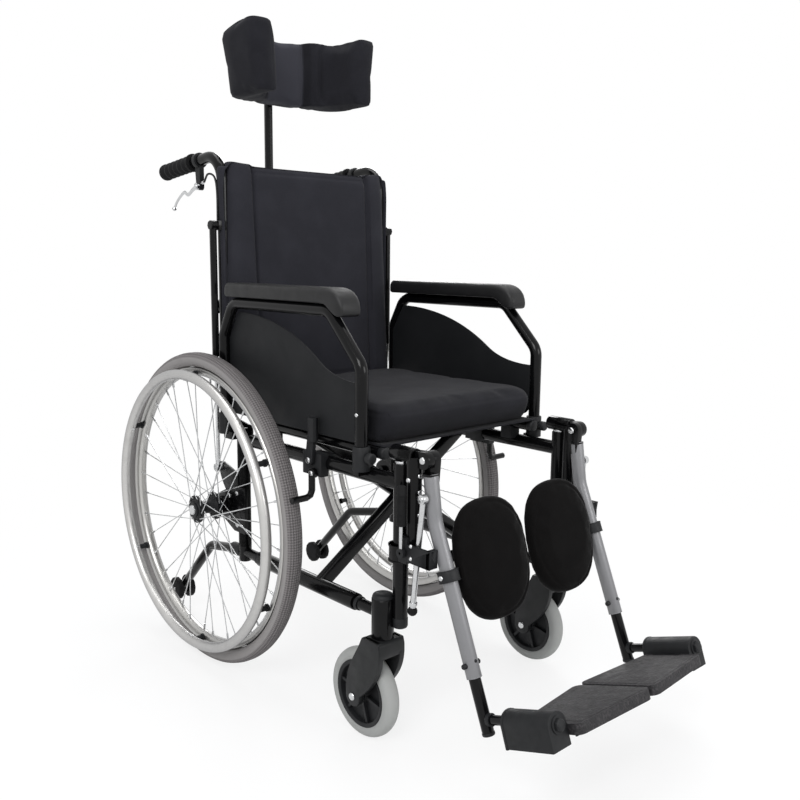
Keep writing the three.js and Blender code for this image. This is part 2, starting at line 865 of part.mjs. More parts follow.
function hub(side) {
  const flange = (centre) => [
    [hubCoreRadius, centre - hubFlangeThickness],
    [hubRadius, centre - hubFlangeThickness],
    [hubRadius, centre + hubFlangeThickness],
    [hubCoreRadius, centre + hubFlangeThickness],
  ];
  const bore = (axleRadius + turningGap) / Math.cos(Math.PI / hubFacets);
  const profile = [
    [0, hubHalf + hubCapDepth],
    [hubCoreRadius, hubHalf],
    ...flange(hubFlangeHalf).reverse(),
    ...flange(-hubFlangeHalf).reverse(),
    [hubCoreRadius, -hubHalf],
    [bore, -hubHalf],
    [bore, hubHalf - 2 * hubCapDepth],
    [0, hubHalf - 2 * hubCapDepth],
  ];
  return turnedAcross(profile.map(([radius, across]) => [radius, side * across]), hubFacets);
}

function handrimPart(side) {
  const offset = side * handrimOffset;
  const ring = [];
  for (let i = 0; i <= handrimSides; i += 1) {
    const angle = (2 * Math.PI * (i % handrimSides)) / handrimSides;
    ring.push([handrimRadius + handrimTube * Math.cos(angle), offset + side * handrimTube * Math.sin(angle)]);
  }
  const standoffs = [];
  for (let i = 0; i < handrimStandoffs; i += 1) {
    const angle = (2 * Math.PI * (i + 1 / 2)) / handrimStandoffs;
    const [y, z] = [handrimRadius * Math.cos(angle), handrimRadius * Math.sin(angle)];
    standoffs.push(pinAcross(side * (rimWidth / 2 + gap), offset, y, z, standoffRadius, boreSides));
  }
  return join(turnedAcross(ring, wheelFacets), standoffs);
}

function rearWheel(side, word) {
  const group = groupAt(side * wheelHalf, 0, wheelRadius);
  const tyreInner = wheelRadius - tyreDepth;
  const tyre = ringSection(tyreSectionShares, tyreInner, wheelRadius, tyreWidth, side);
  add(`${word}_rear_tyre`, turnedAcross(tyre, wheelFacets), 'tyre', group);
  const rim = ringSection(rimSectionShares, tyreInner - gap, tyreInner - rimDepth, rimWidth, side);
  add(`${word}_rear_wheel`, join(turnedAcross(rim, wheelFacets), hub(side), spokes(side)), 'alloy', group);
  add(`${word}_handrim`, handrimPart(side), 'alloy', group);
}

// One caster: a swivelling fork and its wheel, in a group under the stem.
function caster(side, word) {
  const group = groupAt(side * casterHalf, casterStemY, 0);
  const inner = casterWidth / 2 + forkGap;
  const outer = inner + forkThickness;
  const arm = new THREE.Shape();
  const front = -casterHousingRadius - forkGap;
  arm.moveTo(-front, casterHousingZ - gap);
  arm.lineTo(front, casterHousingZ - gap);
  const bend = (casterHousingZ + casterRadius) / 2;
  arm.quadraticCurveTo(front - forkGap, bend, casterTrail - casterBossRadius, casterRadius);
  arm.absarc(casterTrail, casterRadius, casterBossRadius, Math.PI, 2 * Math.PI, false);
  const shoulder = forkCrownZ - forkThickness;
  arm.quadraticCurveTo(casterTrail + casterBossRadius, shoulder, -front, casterHousingZ - gap);
  const crown = box(-outer, outer, front, -front, forkCrownZ, casterHousingZ - gap);
  const stemTop = casterHousingZ + casterHousingHeight - 4 * postCap;
  const fork = join(
    plateAcross(arm, inner, outer),
    plateAcross(arm, -outer, -inner),
    crown,
    rod(at(0, 0, forkCrownZ), at(0, 0, stemTop), forkStemRadius),
    pinAcross(-outer - forkGap, outer + forkGap, casterTrail, casterRadius, casterAxleRadius),
  );
  add(`${word}_caster_fork`, fork, 'plastic', group);
  const half = casterWidth / 2;
  const bore = (casterAxleRadius + turningGap) / Math.cos(Math.PI / casterFacets);
  const halfProfile = [
    [bore, half + gap],
    [casterBossRadius, half + gap],
    [casterBossRadius + postCap, casterWeb / 2],
    [casterHubRadius, half * casterWallShare],
    [casterRadius - 2 * postCap, half * casterWallShare],
    [casterRadius, half * casterCrownShare],
  ];
  const mirrored = halfProfile.map(([radius, across]) => [radius, -across]).reverse();
  const wheel = turnedAcross([...halfProfile, ...mirrored, halfProfile[0]], casterFacets);
  const place = groupAt(side * casterHalf, casterStemY + casterTrail, casterRadius);
  add(`${word}_caster_wheel`, wheel, 'caster', place);
}

// The cross brace. Each bar carries a sleeve on one lower tube and the seat rail of the other side.
const braceAngle = Math.atan2(railZ - lowerZ, frameHalf + railHalf);
const braceCentreZ = lowerZ + frameHalf * Math.tan(braceAngle);

function braceBar(side, y, bolt) {
  const length = Math.hypot(frameHalf + railHalf, railZ - lowerZ);
  const bar = box(0, length - railRadius / 2, y, y + braceThickness, -braceWidth / 2, braceWidth / 2);
  bar.rotateY(-braceAngle).translate(-frameHalf, 0, lowerZ);
  if (side < 0) {
    bar.applyMatrix4(new THREE.Matrix4().makeScale(-1, 1, 1));
  }
  const lower = -side * frameHalf;
  const solids = [
    bar,
    rod(at(lower, sleeveFrontY, lowerZ), at(lower, sleeveRearY, lowerZ), sleeveRadius, fineSides),
    rod(at(side * railHalf, railFrontY, railZ), at(side * railHalf, railRearY, railZ), railRadius),
  ];
  const sleeveBore = hole(
    at(lower, sleeveFrontY - overrun, lowerZ),
    at(lower, sleeveRearY + overrun, lowerZ),
    lowerTube + turningGap,
  );
  const middle = (from, to, radius) => rod(at(0, from, braceCentreZ), at(0, to, braceCentreZ), radius);
  if (bolt) {
    solids.push(middle(y, y + 2 * braceThickness + gap + braceBoltRadius, braceBoltRadius));
    solids.push(middle(y - braceBoltRadius, y, braceBoltHead));
    return cut(join(solids), sleeveBore);
  }
  const boltHole = hole(
    at(0, y - overrun, braceCentreZ),
    at(0, y + braceThickness + overrun, braceCentreZ),
    braceBoltRadius + turningGap,
  );
  return cut(join(solids), sleeveBore, boltHole);
}

function crossBrace() {
  add('brace_bar_front', braceBar(1, braceY, true), 'frame');
  add('brace_bar_rear', braceBar(-1, braceY + braceThickness + gap, false), 'frame');
}

// Seat sling and cushion, and the back upholstery with its two side bolsters.
function upholstery() {
  const slingZ = railZ + railRadius + gap;
  const sling = box(-slingHalf, slingHalf, railFrontY, railRearY, slingZ, slingZ + slingThickness);
  add('seat_sling', sling, 'fabric');
  const depth = cushionRearY - cushionFrontY;
  const cushion = softBlock({
    width: 2 * cushionHalf,
    depth,
    height: cushionThickness,
    round: cushionThickness / 4,
    crown: cushionCrown,
    drawIn: cushionDrawIn,
    cells: cushionCells,
  });
  const cushionZ = slingZ + slingThickness + gap + cushionThickness / 2;
  cushion.translate(0, cushionFrontY + depth / 2, cushionZ);
  add('seat_cushion', cushion, 'fabric');
  const edge = (u) => (Math.abs(u) - bolsterShare) / bolsterEdgeShare;
  const bolster = (u) => bolsterRise * THREE.MathUtils.clamp(edge(u), 0, 1);
  const back = softBlock({
    width: 2 * backHalf,
    depth: backTopZ - backFootZ,
    height: backThickness,
    round: backThickness / 4,
    crown: 0,
    drawIn: cushionDrawIn / 2,
    cells: backCells,
    shapeTop: bolster,
  });
  const backY = caneY - caneRadius / 2 - backThickness / 2;
  back.rotateX(Math.PI / 2).translate(0, backY, (backFootZ + backTopZ) / 2);
  const sleeves = [-1, 1].map((side) => {
    const x = side * caneHalf;
    return hole(at(x, caneY, canePivotZ), at(x, caneY, caneTopZ), caneRadius + gap, tubeSides);
  });
  add('back_upholstery', cut(back, sleeves), 'fabric');
}

// One back cane with its push handle, lever bracket and cable, then the grip and the hand lever.
function handleDirection() {
  return at(0, handleEndY - caneY, handleEndZ - caneTopZ).normalize();
}

function backCane(side, word) {
  const x = side * caneHalf;
  const path = [
    at(x, caneY, canePivotZ + caneFootRise),
    at(x, caneY, caneTopZ),
    at(x, handleEndY, handleEndZ),
  ];
  const half = caneEyeThickness / 2;
  const eyeTop = [caneY, canePivotZ + 2 * caneFootRise];
  const eyeShape = linkShape([caneY, canePivotZ], caneEyeRadius, eyeTop, caneRadius - gap);
  const eye = plateAcross(eyeShape, x - half, x + half);
  const along = handleDirection();
  const ringCentre = at(x, caneY, caneTopZ).addScaledVector(along, leverBracketReach);
  const ringHalf = along.clone().multiplyScalar(leverBracketThickness / 2);
  const ring = rod(ringCentre.clone().sub(ringHalf), ringCentre.clone().add(ringHalf), caneRadius + postCap);
  const armTop = [leverBracketY, ringCentre.z - caneRadius];
  const armShape = linkShape(armTop, springEyeRadius, [leverPivotY, leverPivotZ], leverEyeRadius);
  const arm = plateAcross(armShape, x - leverBracketThickness / 2, x + leverBracketThickness / 2);
  const pivotReach = leverBracketThickness / 2 + gap + leverThickness;
  const pivot = pinAcross(x, x + side * pivotReach, leverPivotY, leverPivotZ, springPinRadius);
  const [lugFoot, lugTop] = [springTopZ - springEyeRadius, springTopZ + springEyeRadius];
  const [lugFront, lugRear] = [springTopY - springEyeRadius, springTopY + springEyeRadius];
  const lug = box(x, side * (springHalf - springRadius - gap), lugFront, lugRear, lugFoot, lugTop);
  const cablePlaces = [
    at(x, leverPivotY, leverPivotZ + leverEyeRadius / 2),
    at(x, leverPivotY - 2 * leverEyeRadius, leverPivotZ + leverEyeRadius),
    at(x + side * leverEyeRadius, (leverPivotY + caneY) / 2, leverPivotZ + 3 * leverEyeRadius),
    at(x + side * caneRadius, caneY + caneRadius, leverPivotZ + 2 * leverEyeRadius),
    at(x + side * caneRadius, caneY, leverPivotZ - 2 * leverEyeRadius),
    at(x + side * caneRadius, caneY, springTopZ + springEyeRadius),
    at(x + side * caneRadius, caneY, springTopZ),
  ];
  const cable = new THREE.ExtrudeGeometry(polygon(cableRadius, cableSides), {
    steps: cableSteps,
    extrudePath: new THREE.CatmullRomCurve3(cablePlaces),
  });
  const cane = join(tube(path, caneRadius, { bend: caneBend }), eye, ring, arm, pivot, lug, cable);
  const reach = caneEyeRadius;
  const pinHole = holeAcross(x - reach, x + reach, caneY, canePivotZ, canePinRadius + turningGap);
  add(`${word}_back_cane`, cut(cane, pinHole), 'frame');
}

function handGrip(side, word) {
  const wall = gripRadius - caneRadius;
  const bore = (caneRadius + gap) / Math.cos(Math.PI / gripFacets);
  const lip = gripRadius + gripRib;
  const profile = [[0, gripLength], [lip, gripLength], [lip, gripLength - wall]];
  const pitch = (gripLength - 2 * wall) / gripRibs;
  for (let i = gripRibs; i > 0; i -= 1) {
    profile.push([gripRadius - gripRib, (i - gripGrooveShare) * pitch + wall]);
    profile.push([gripRadius, (i - gripRidgeShare) * pitch + wall]);
  }
  profile.push([lip, 0], [bore, 0], [bore, gripLength - wall], [0, gripLength - wall]);
  const points = profile.map(([radius, along]) => new THREE.Vector2(radius, along));
  const grip = add(`${word}_hand_grip`, new THREE.LatheGeometry(points, gripFacets), 'rubber');
  const along = handleDirection();
  grip.quaternion.setFromUnitVectors(at(0, 1, 0), along);
  grip.position.set(side * caneHalf, handleEndY, handleEndZ).addScaledVector(along, gap + wall - gripLength);
}

function handLever(side, word) {
  const shape = new THREE.Shape();
  const eye = leverEyeRadius;
  shape.moveTo(0, -eye);
  const bow = leverReach * leverBowShare;
  shape.bezierCurveTo(leverReach / 3, -eye, bow, -leverDrop / 2, leverReach, -leverDrop - eye / 2);
  shape.lineTo(leverReach + eye / 2, -leverDrop);
  shape.bezierCurveTo(leverReach * leverRiseShare, -eye, leverReach / 2, eye / 2, 0, eye);
  shape.absarc(0, 0, eye, Math.PI / 2, (3 * Math.PI) / 2, false);
  const inner = caneHalf + leverBracketThickness / 2 + gap;
  const outer = inner + leverThickness;
  const blade = plateAcross(shape, side * inner, side * outer);
  const boreRadius = springPinRadius + turningGap;
  const bore = holeAcross(side * (inner - overrun), side * (outer + overrun), 0, 0, boreRadius);
  const group = groupAt(0, leverPivotY, leverPivotZ);
  add(`${word}_hand_lever`, cut(blade, bore), 'steel', group);
}

// The locking gas spring of the recline: its rod stands on the side frame, its cylinder hangs on the cane.
const springLength = Math.hypot(springTopY - springFootY, springTopZ - springFootZ);
const springLean = Math.atan2(springTopY - springFootY, springTopZ - springFootZ);

function reclineSpring(side, word) {
  const half = springRadius;
  const rodTop = springLength - 4 * springEyeRadius;
  const bodyFoot = springBodyZ - springFootZ;
  const rodSolid = join(
    pinAcross(-half, half, 0, 0, springFootEyeRadius),
    rod(at(0, 0, 0), at(0, 0, rodTop - bodyFoot / 2), springRodRadius, pinSides),
  );
  const foot = groupAt(side * springHalf, springFootY, springFootZ);
  foot.rotation.x = -springLean;
  const pinHole = holeAcross(-half - overrun, half + overrun, 0, 0, springPinRadius + turningGap);
  add(`${word}_recline_rod`, cut(rodSolid, pinHole), 'steel', foot);
  const cylinder = join(
    pinAcross(-half, half, 0, springLength, springEyeRadius),
    rod(at(0, 0, bodyFoot), at(0, 0, springLength), springRadius),
  );
  const bore = hole(at(0, 0, bodyFoot - overrun), at(0, 0, rodTop), springRodRadius + turningGap);
  add(`${word}_recline_cylinder`, cut(cylinder, bore), 'frame', foot);
}

// One armrest: bent tube in two sockets, arm pad, and the side guard inside the tube.
function armPath(side) {
  const x = side * armHalf;
  const rail = armRailZ - armTube / 2;
  return [
    at(x, armFrontY, armFootZ + gap),
    at(x, armFrontY, armKneeZ),
    at(x, armPadFrontY, rail),
    at(x, armRearY - armBend, rail),
    at(x, armRearY, armRailZ - 2 * armBend),
    at(x, armRearY, armFootZ + gap),
  ];
}

function padSlab(side) {
  const seatZ = armRailZ + armTube / 2 + gap;
  const top = seatZ + padHeight;
  const shape = new THREE.Shape();
  shape.moveTo(padRearY, seatZ);
  shape.lineTo(padRearY, top - padRound);
  shape.quadraticCurveTo(padRearY, top, padRearY - padRound, top);
  shape.lineTo(padFrontY + 3 * padRound, top);
  shape.quadraticCurveTo(padFrontY, top, padFrontY, seatZ - padDroop / 2);
  shape.quadraticCurveTo(padFrontY, seatZ - padDroop, padFrontY + padRound, seatZ - padDroop);
  shape.quadraticCurveTo(padFrontY + 2 * padRound, seatZ - padDroop / 2, armPadFrontY, seatZ);
  return plateAcross(shape, side * (padHalf - padWidth / 2), side * (padHalf + padWidth / 2));
}

function guardPanel(side) {
  const rear = armRearY - armTube / 2;
  const front = armFrontY + armTube / 2;
  const [top, middle, foot] = guardCurveShares.map((share) => rear - (rear - front) * share);
  const shape = new THREE.Shape();
  shape.moveTo(rear, guardFootZ);
  shape.lineTo(rear, armRailZ - 2 * armBend - armTube);
  shape.lineTo(rear - armBend, guardRearZ);
  const crestY = rear - (rear - front) / 3;
  shape.bezierCurveTo(crestY, guardRearZ, top, guardRearZ - padHeight, middle, guardFrontZ + padHeight);
  shape.quadraticCurveTo(foot, guardFrontZ, front, guardFrontZ);
  shape.lineTo(front, guardFootZ + padHeight);
  shape.quadraticCurveTo(front, guardFootZ, front + padHeight, guardFootZ);
  const half = guardThickness / 2;
  return plateAcross(shape, side * (guardHalf - half), side * (guardHalf + half));
}

function armrest(side, word) {
  const path = armPath(side);
  const bends = { bend: armBend, steps: fewBendSteps };
  const channel = tube(path, armTube + gap, bends);
  add(`${word}_armrest_tube`, tube(path, armTube - gap / 2, bends), 'frame');
  add(`${word}_arm_pad`, cut(padSlab(side), channel), 'rubber');
  add(`${word}_side_guard`, cut(guardPanel(side), channel), 'plastic');
}

// One parking brake: the hand lever and the cranked rod that presses on the tyre.
function parkingBrake(side, word) {
  const inner = side * (brakeHalf - brakePlate / 2);
  const outer = side * (brakeHalf + brakePlate / 2);
  const top = [brakeY - brakeLeverLean, brakeLeverZ + brakeLeverRise];
  const plate = plateAcross(linkShape([brakeY, brakeLeverZ], brakeEyeRadius, top, brakePlate), inner, outer);
  const grip = rod(
    at(side * brakeHalf, top[0], top[1] - brakeGripLength),
    at(side * brakeHalf, top[0], top[1] + brakeGripRadius),
    brakeGripRadius,
  );
  const boreRadius = brakePinRadius + turningGap;
  const clear = side * overrun;
  const leverHole = holeAcross(inner - clear, outer + clear, brakeY, brakeLeverZ, boreRadius);
  add(`${word}_brake_lever`, cut(join(plate, grip), leverHole), 'plastic');
  const footZ = brakeShoeZ - brakeRodDrop;
  const crankX = inner + side * brakeRod;
  const crankPath = [
    at(crankX, brakeShoeY, brakeShoeZ),
    at(crankX, brakeShoeY, footZ),
    at(side * brakeShoeHalf, brakeShoeY, footZ),
  ];
  const crank = tube(crankPath, brakeRod, { bend: 2 * brakeRod, steps: fewBendSteps, sides: pinSides });
  const eye = pinAcross(inner, outer, brakeShoeY, brakeShoeZ, brakeEyeRadius);
  const shoeHole = holeAcross(inner - clear, crankX + side * 2 * brakeRod, brakeShoeY, brakeShoeZ, boreRadius);
  add(`${word}_brake_shoe`, cut(join(crank, eye), shoeHole), 'frame');
}

function antiTipWheels(side, word) {
  const inner = antiTipEyeHalf + gap;
  const outer = inner + antiTipWheelWidth;
  const rim = antiTipWheelRadius - gap;
  const half = [
    [0, outer],
    [rim - postCap, outer],
    [rim, outer - postCap / 2],
    [rim, inner],
    [antiTipAxle, inner],
  ];
  const mirrored = half.map(([radius, across]) => [radius, -across]).reverse();
  const group = groupAt(side * antiTipHalf, antiTipEndY, antiTipEndZ);
  add(`${word}_anti_tip_wheels`, turnedAcross([...half, ...mirrored]), 'rubber', group);
}

// One legrest: swivel pin in the post, hanger, elevating leg tube, strut, release lever and calf pad.
function swingPin(side, word) {
  const seat = swingPinDepth + gap;
  const top = seat + swingPinHeadDepth;
  const shank = [[0, 0], [swingPinRadius, 0], [swingPinRadius, seat]];
  const profile = [...shank, [swingPinHead, seat], [swingPinHead, top], [0, top]];
  const pin = turnedUp(profile).translate(side * frameHalf, frontPostY, frontPostTopZ - swingPinDepth);
  add(`${word}_swing_pin`, pin, 'steel');
}

function lockBlock(side) {
  const inner = side * (hangerHalf - hangerTube);
  const outer = side * blockOuter;
  const wall = side * (blockOuter - blockWall);
  const legSide = side * (legHalf + legTube + gap);
  return [
    box(inner, outer, blockMidY, blockRearY, blockFootZ, blockTopZ),
    box(wall, outer, blockFrontY, blockMidY, blockFootZ, blockTopZ),
    box(legSide, outer, blockFrontY, blockSlotFrontY, blockFootZ, blockTopZ),
    pinAcross(wall, side * (releaseHalf + releaseRod), releaseY, releaseZ, releasePin),
  ];
}

function hanger(side, word) {
  const x = side * hangerHalf;
  const postX = side * frameHalf;
  const kneeShape = linkShape([hangerDropY, kneeZ], hangerTube, [kneeY, kneeZ], kneeRadius);
  const kneeOuter = side * (kneeFaceHalf + kneeThickness);
  const armRearY = frontPostY + hangerArmRear;
  const onPost = (from, to, radius, shape) => shape(
    at(postX, frontPostY, from),
    at(postX, frontPostY, to),
    radius,
    fineSides,
  );
  const solids = [
    rod(at(x, armRearY, hangerArmZ), at(x, hangerDropY - postCap, hangerArmZ), hangerArmRadius),
    rod(at(x, hangerDropY, hangerDropZ), at(x, hangerDropY, hangerArmZ), hangerTube),
    plateAcross(kneeShape, side * kneeFaceHalf, kneeOuter),
    onPost(blockFootZ - postCap, blockFootZ + collarHeight, collarRadius, rod),
    pinAcross(side * (legHalf - kneeThickness), kneeOuter, kneeY, kneeZ, kneePinRadius),
    ...lockBlock(side),
  ];
  const headTop = frontPostTopZ + swingPinHeadDepth + 3 * gap;
  const tools = [
    onPost(blockFootZ - 2 * postCap, frontPostTopZ + gap, frameTube + turningGap, hole),
    onPost(frontPostTopZ - gap, headTop, swingPinHead + turningGap, hole),
  ];
  add(`${word}_legrest_hanger`, cut(join(solids), tools), 'frame');
}

const legLean = Math.atan2(legBendY - legEndY, legBendZ - legEndZ);

function legPlace(side, z) {
  return at(side * legHalf, legBendY + (z - legBendZ) * Math.tan(legLean), z);
}

function legTubePart(side, word) {
  const x = side * legHalf;
  const path = [at(x, legTopY, legTopZ), at(x, legBendY, legBendZ), at(x, legEndY, legEndZ)];
  const down = at(0, legEndY - legBendY, legEndZ - legBendZ).normalize();
  const along = (middle, half, radius, shape, sides) => shape(
    middle.clone().addScaledVector(down, -half),
    middle.clone().addScaledVector(down, half),
    radius,
    sides,
  );
  const eyeShape = linkShape([kneeY, kneeZ], kneeRadius, [legTopY, legTopZ - kneeRadius], legTube - postCap);
  const eyeOuter = kneeFaceHalf - gap;
  const hinge = calfHingePlace(side);
  const [bridgeFoot, bridgeTop] = [hinge.z - calfBossHalf / 2, hinge.z + calfBossHalf / 2];
  const lock = legPlace(side, legEndZ + 2 * extensionTube);
  const knobReach = legTube + (3 * postCap) / 2;
  const solids = [
    tube(path, legTube, { bend: legBendRadius, steps: fewBendSteps }),
    plateAcross(eyeShape, side * (eyeOuter - kneeThickness), side * eyeOuter),
    along(legPlace(side, calfClampZ), calfClampHeight / 2, calfClampRadius, rod),
    along(hinge, calfBossHalf, calfHingeRadius, rod),
    box(x, hinge.x, hinge.y - calfHingeReach, hinge.y, bridgeFoot, bridgeTop),
    pinAcross(x, side * (strutHalf + strutRadius), strutEyeY, strutEyeZ, releasePin),
    pinAcross(x - knobReach, x + knobReach, lock.y, lock.z, postCap),
  ];
  const boreTop = legPlace(side, legEndZ + (legBendZ - legEndZ) * extensionBoreShare);
  const boreFoot = legPlace(side, legEndZ - 2 * extensionTube);
  const kneeReachHalf = 2 * kneeThickness;
  const bores = [
    holeAcross(x - kneeReachHalf, x + kneeReachHalf, kneeY, kneeZ, kneePinRadius + turningGap),
    hole(boreTop, boreFoot, extensionTube + turningGap, tubeSides),
    along(hinge, calfHingeHeight, calfPinRadius + turningGap, hole),
  ];
  add(`${word}_leg_tube`, cut(join(solids), bores), 'legPaint');
}

function calfHingePlace(side) {
  const clamp = legPlace(side, calfClampZ);
  return at(side * (legHalf - legTube), clamp.y + calfHingeReach, clamp.z);
}

// One calf pad, built about its hinge with z along the leg tube.
function padDisc() {
  const bevel = calfPadThickness / 3;
  const outline = new THREE.Shape();
  outline.absellipse(0, 0, calfPadWidth / 2 - bevel, calfPadHeight / 2 - bevel, 0, 2 * Math.PI, false, 0);
  const disc = new THREE.ExtrudeGeometry(outline, {
    depth: calfPadThickness - 2 * bevel,
    bevelEnabled: true,
    bevelThickness: bevel,
    bevelSize: bevel,
    bevelSegments: fewBendSteps,
    curveSegments: pinSides,
  });
  return disc.translate(0, 0, bevel - calfPadThickness / 2);
}

function calfPad(side, word) {
  const hinge = calfHingePlace(side);
  const centre = at(side * calfPadHalf, calfPadY, calfPadZ).sub(hinge).applyAxisAngle(at(1, 0, 0), legLean);
  const pad = padDisc().rotateX(Math.PI / 2 + legLean - radians(calfPadAngle));
  pad.translate(centre.x, centre.y, centre.z);
  const near = side * (calfPadHalf - calfPlateRadius) - hinge.x;
  const far = side * (calfPadHalf + calfPlateRadius) - hinge.x;
  const half = calfPlateThickness / 2;
  const foot = calfBossHalf + gap;
  const top = foot + calfClampHeight;
  const solids = [
    pad,
    box(0, near, -half, half, foot, top),
    box(near, far, centre.y, half, foot - calfClampHeight, top),
    rod(at(0, 0, -calfHingeHeight / 2), at(0, 0, calfHingeHeight / 2), calfPinRadius, pinSides),
    rod(at(0, 0, foot), at(0, 0, top), calfHingeRadius),
  ];
  const group = groupAt(hinge.x, hinge.y, hinge.z);
  group.rotation.x = -legLean;
  add(`${word}_calf_pad`, join(solids), 'padCover', group);
}

function strut(side, word) {
  const x = side * strutHalf;
  const eye = pinAcross(x - strutRadius, x + strutRadius, strutEyeY, strutEyeZ, strutEyeRadius);
  const bar = rod(at(x, strutEyeY, strutEyeZ), at(x, strutFootY, strutFootZ), strutRadius, pinSides);
  const ball = new THREE.SphereGeometry(strutBall, pinSides, boreSides).translate(x, strutFootY, strutFootZ);
  const reach = 2 * strutRadius;
  const pinHole = holeAcross(x - reach, x + reach, strutEyeY, strutEyeZ, releasePin + turningGap);
  add(`${word}_elevation_strut`, cut(join(eye, bar, ball), pinHole), 'steel');
}

function releaseLever(side, word) {
  const x = side * releaseHalf;
  const handle = turnedUp([
    [0, 0],
    [releaseGripRadius, 0],
    [releaseGripRadius, releaseGripLength - postCap],
    [releaseGripRadius - postCap, releaseGripLength],
    [0, releaseGripLength],
  ]);
  const solids = [
    pinAcross(x - releaseRod, x + releaseRod, releaseY, releaseZ, releaseBoss),
    rod(at(x, releaseY, releaseZ), at(x, releaseY, releaseGripZ), releaseRod, pinSides),
    handle.translate(x, releaseY, releaseGripZ),
  ];
  const reach = 2 * releaseRod;
  const pinHole = holeAcross(x - reach, x + reach, releaseY, releaseZ, releasePin + turningGap);
  add(`${word}_release_lever`, cut(join(solids), pinHole), 'rubber');
}

function legExtension(side, word) {
  const top = legPlace(side, legEndZ + (legBendZ - legEndZ) * extensionTopShare);
  const elbow = legPlace(side, elbowZ);
  const down = elbow.clone().sub(top).normalize();
  const forward = at(0, -Math.cos(radians(footAngle)), Math.sin(radians(footAngle)));
  const pinEnd = elbow.clone().addScaledVector(forward, footPinLength);
  const solid = join(
    rod(top, elbow.clone().addScaledVector(down, extensionStub), extensionTube),
    rod(elbow, pinEnd, footPinRadius),
    rod(pinEnd, pinEnd.clone().addScaledVector(forward, footPinHead / 2), footPinHead),
  );
  add(`${word}_leg_extension`, solid, 'frame');
}

// One footplate, drawn flat with its hinge along -y, then tipped up to its pitch.
function plateOutline(side) {
  const inner = -side * (legHalf - plateInnerGap);
  const outer = -side * footBlockHalf;
  const shape = new THREE.Shape();
  shape.moveTo(outer, -plateOuterStart);
  shape.lineTo(inner + side * plateCorner, -plateInnerStart);
  shape.quadraticCurveTo(inner, -plateInnerStart, inner, -plateInnerStart - plateCorner);
  shape.lineTo(inner, -plateInnerEnd + plateCorner);
  shape.quadraticCurveTo(inner, -plateInnerEnd, inner + side * plateCorner, -plateInnerEnd);
  shape.lineTo(outer - side * plateCorner, -plateOuterEnd);
  shape.quadraticCurveTo(outer, -plateOuterEnd, outer, -plateOuterEnd + plateCorner);
  const plate = new THREE.ExtrudeGeometry(shape, {
    depth: plateThickness,
    bevelEnabled: false,
    curveSegments: bendSteps,
  });
  return plate.translate(0, 0, -plateDrop - plateThickness);
}

function footplate(side, word) {
  const section = new THREE.Shape();
  section.moveTo(-footBlockHalf, -footBlockDrop);
  section.lineTo(footBlockHalf, -footBlockDrop);
  section.lineTo(footBlockHalf, 0);
  section.absellipse(0, 0, footBlockHalf, footBlockTop, 0, Math.PI, false, 0);
  const rear = -plateOuterStart - plateCorner;
  const front = -footBlockEnd + plateCorner;
  const outer = -side * (footBlockHalf + plateCorner);
  const solids = [
    plateOutline(side),
    plateAlong(section, -footBlockStart, -footBlockEnd, boreSides),
    box((-side * footBlockHalf) / 2, outer, front, rear, -plateDrop - plateThickness, -plateDrop),
  ];
  const along = (from, to, radius) => hole(at(0, from, 0), at(0, to, 0), radius, tubeSides);
  const bores = [
    along(-footBlockStart + overrun, -footBlockEnd - overrun, footPinRadius + turningGap),
    along(-footPinLength + gap, -plateInnerEnd, footPinHead + turningGap),
  ];
  const elbow = legPlace(side, elbowZ);
  const group = groupAt(elbow.x, elbow.y, elbow.z);
  group.rotation.x = -radians(footAngle);
  add(`${word}_footplate`, cut(join(solids), bores), 'plastic', group);
}

// Headrest: two spreader bars meeting behind the back, clamp, post and pad.
const apexZ = spreaderZ + frameHalf * Math.tan(braceAngle);

// One spreader bar: its pivot stands in the cane's clamp and its other end turns on the centre pin.
function spreader(side, y) {
  const shape = linkShape([side * frameHalf, spreaderZ], spreaderWidth / 2, [0, apexZ], spreaderWidth / 2);
  const bar = plateAlong(shape, y, y + spreaderBar);
  const x = side * frameHalf;
  const clampRear = caneY + caneRadius + gap;
  const pivot = rod(at(x, clampRear, spreaderZ), at(x, y + spreaderBar / 2, spreaderZ), spreaderPin, pinSides);
  const reach = spreaderBar + overrun;
  const pinHole = hole(at(0, y - overrun, apexZ), at(0, y + reach, apexZ), spreaderPin + turningGap);
  return cut(join(bar, pivot), pinHole);
}

function headrestFrame() {
  const rightY = spreaderY;
  const leftY = spreaderY + spreaderBar + gap;
  add('headrest_spreader_right', spreader(-1, rightY), 'frame');
  add('headrest_spreader_left', spreader(1, leftY), 'frame');
  const clampFront = leftY + spreaderBar + gap;
  const [width, height] = [headClampWidth / 2, headClampHeight / 4];
  const pinFront = rightY - spreaderPin;
  const upright = (half, radius, shape, sides) => shape(
    at(0, headPostY, apexZ - half),
    at(0, headPostY, apexZ + half),
    radius,
    sides,
  );
  const clamp = join(
    rod(at(0, pinFront, apexZ), at(0, clampFront + spreaderPin, apexZ), spreaderPin, pinSides),
    rod(at(0, pinFront, apexZ), at(0, rightY - gap, apexZ), spreaderHead, pinSides),
    box(-width, width, clampFront, headPostY, apexZ - height, apexZ + height),
    upright(headClampHeight / 2, headPostRadius + headSocketWall, rod, fineSides),
  );
  const postHole = upright(headClampHeight, headPostRadius + turningGap, hole, tubeSides);
  add('headrest_clamp', cut(clamp, postHole), 'frame');
  const post = join(
    rod(at(0, headPostY, headPostFootZ), at(0, headPostY, headPostTopZ), headPostRadius),
    pinAcross(-headHingeHalf, headHingeHalf, headPostY, headPostTopZ, headHingeRadius),
  );
  add('headrest_post', post, 'frame');
}

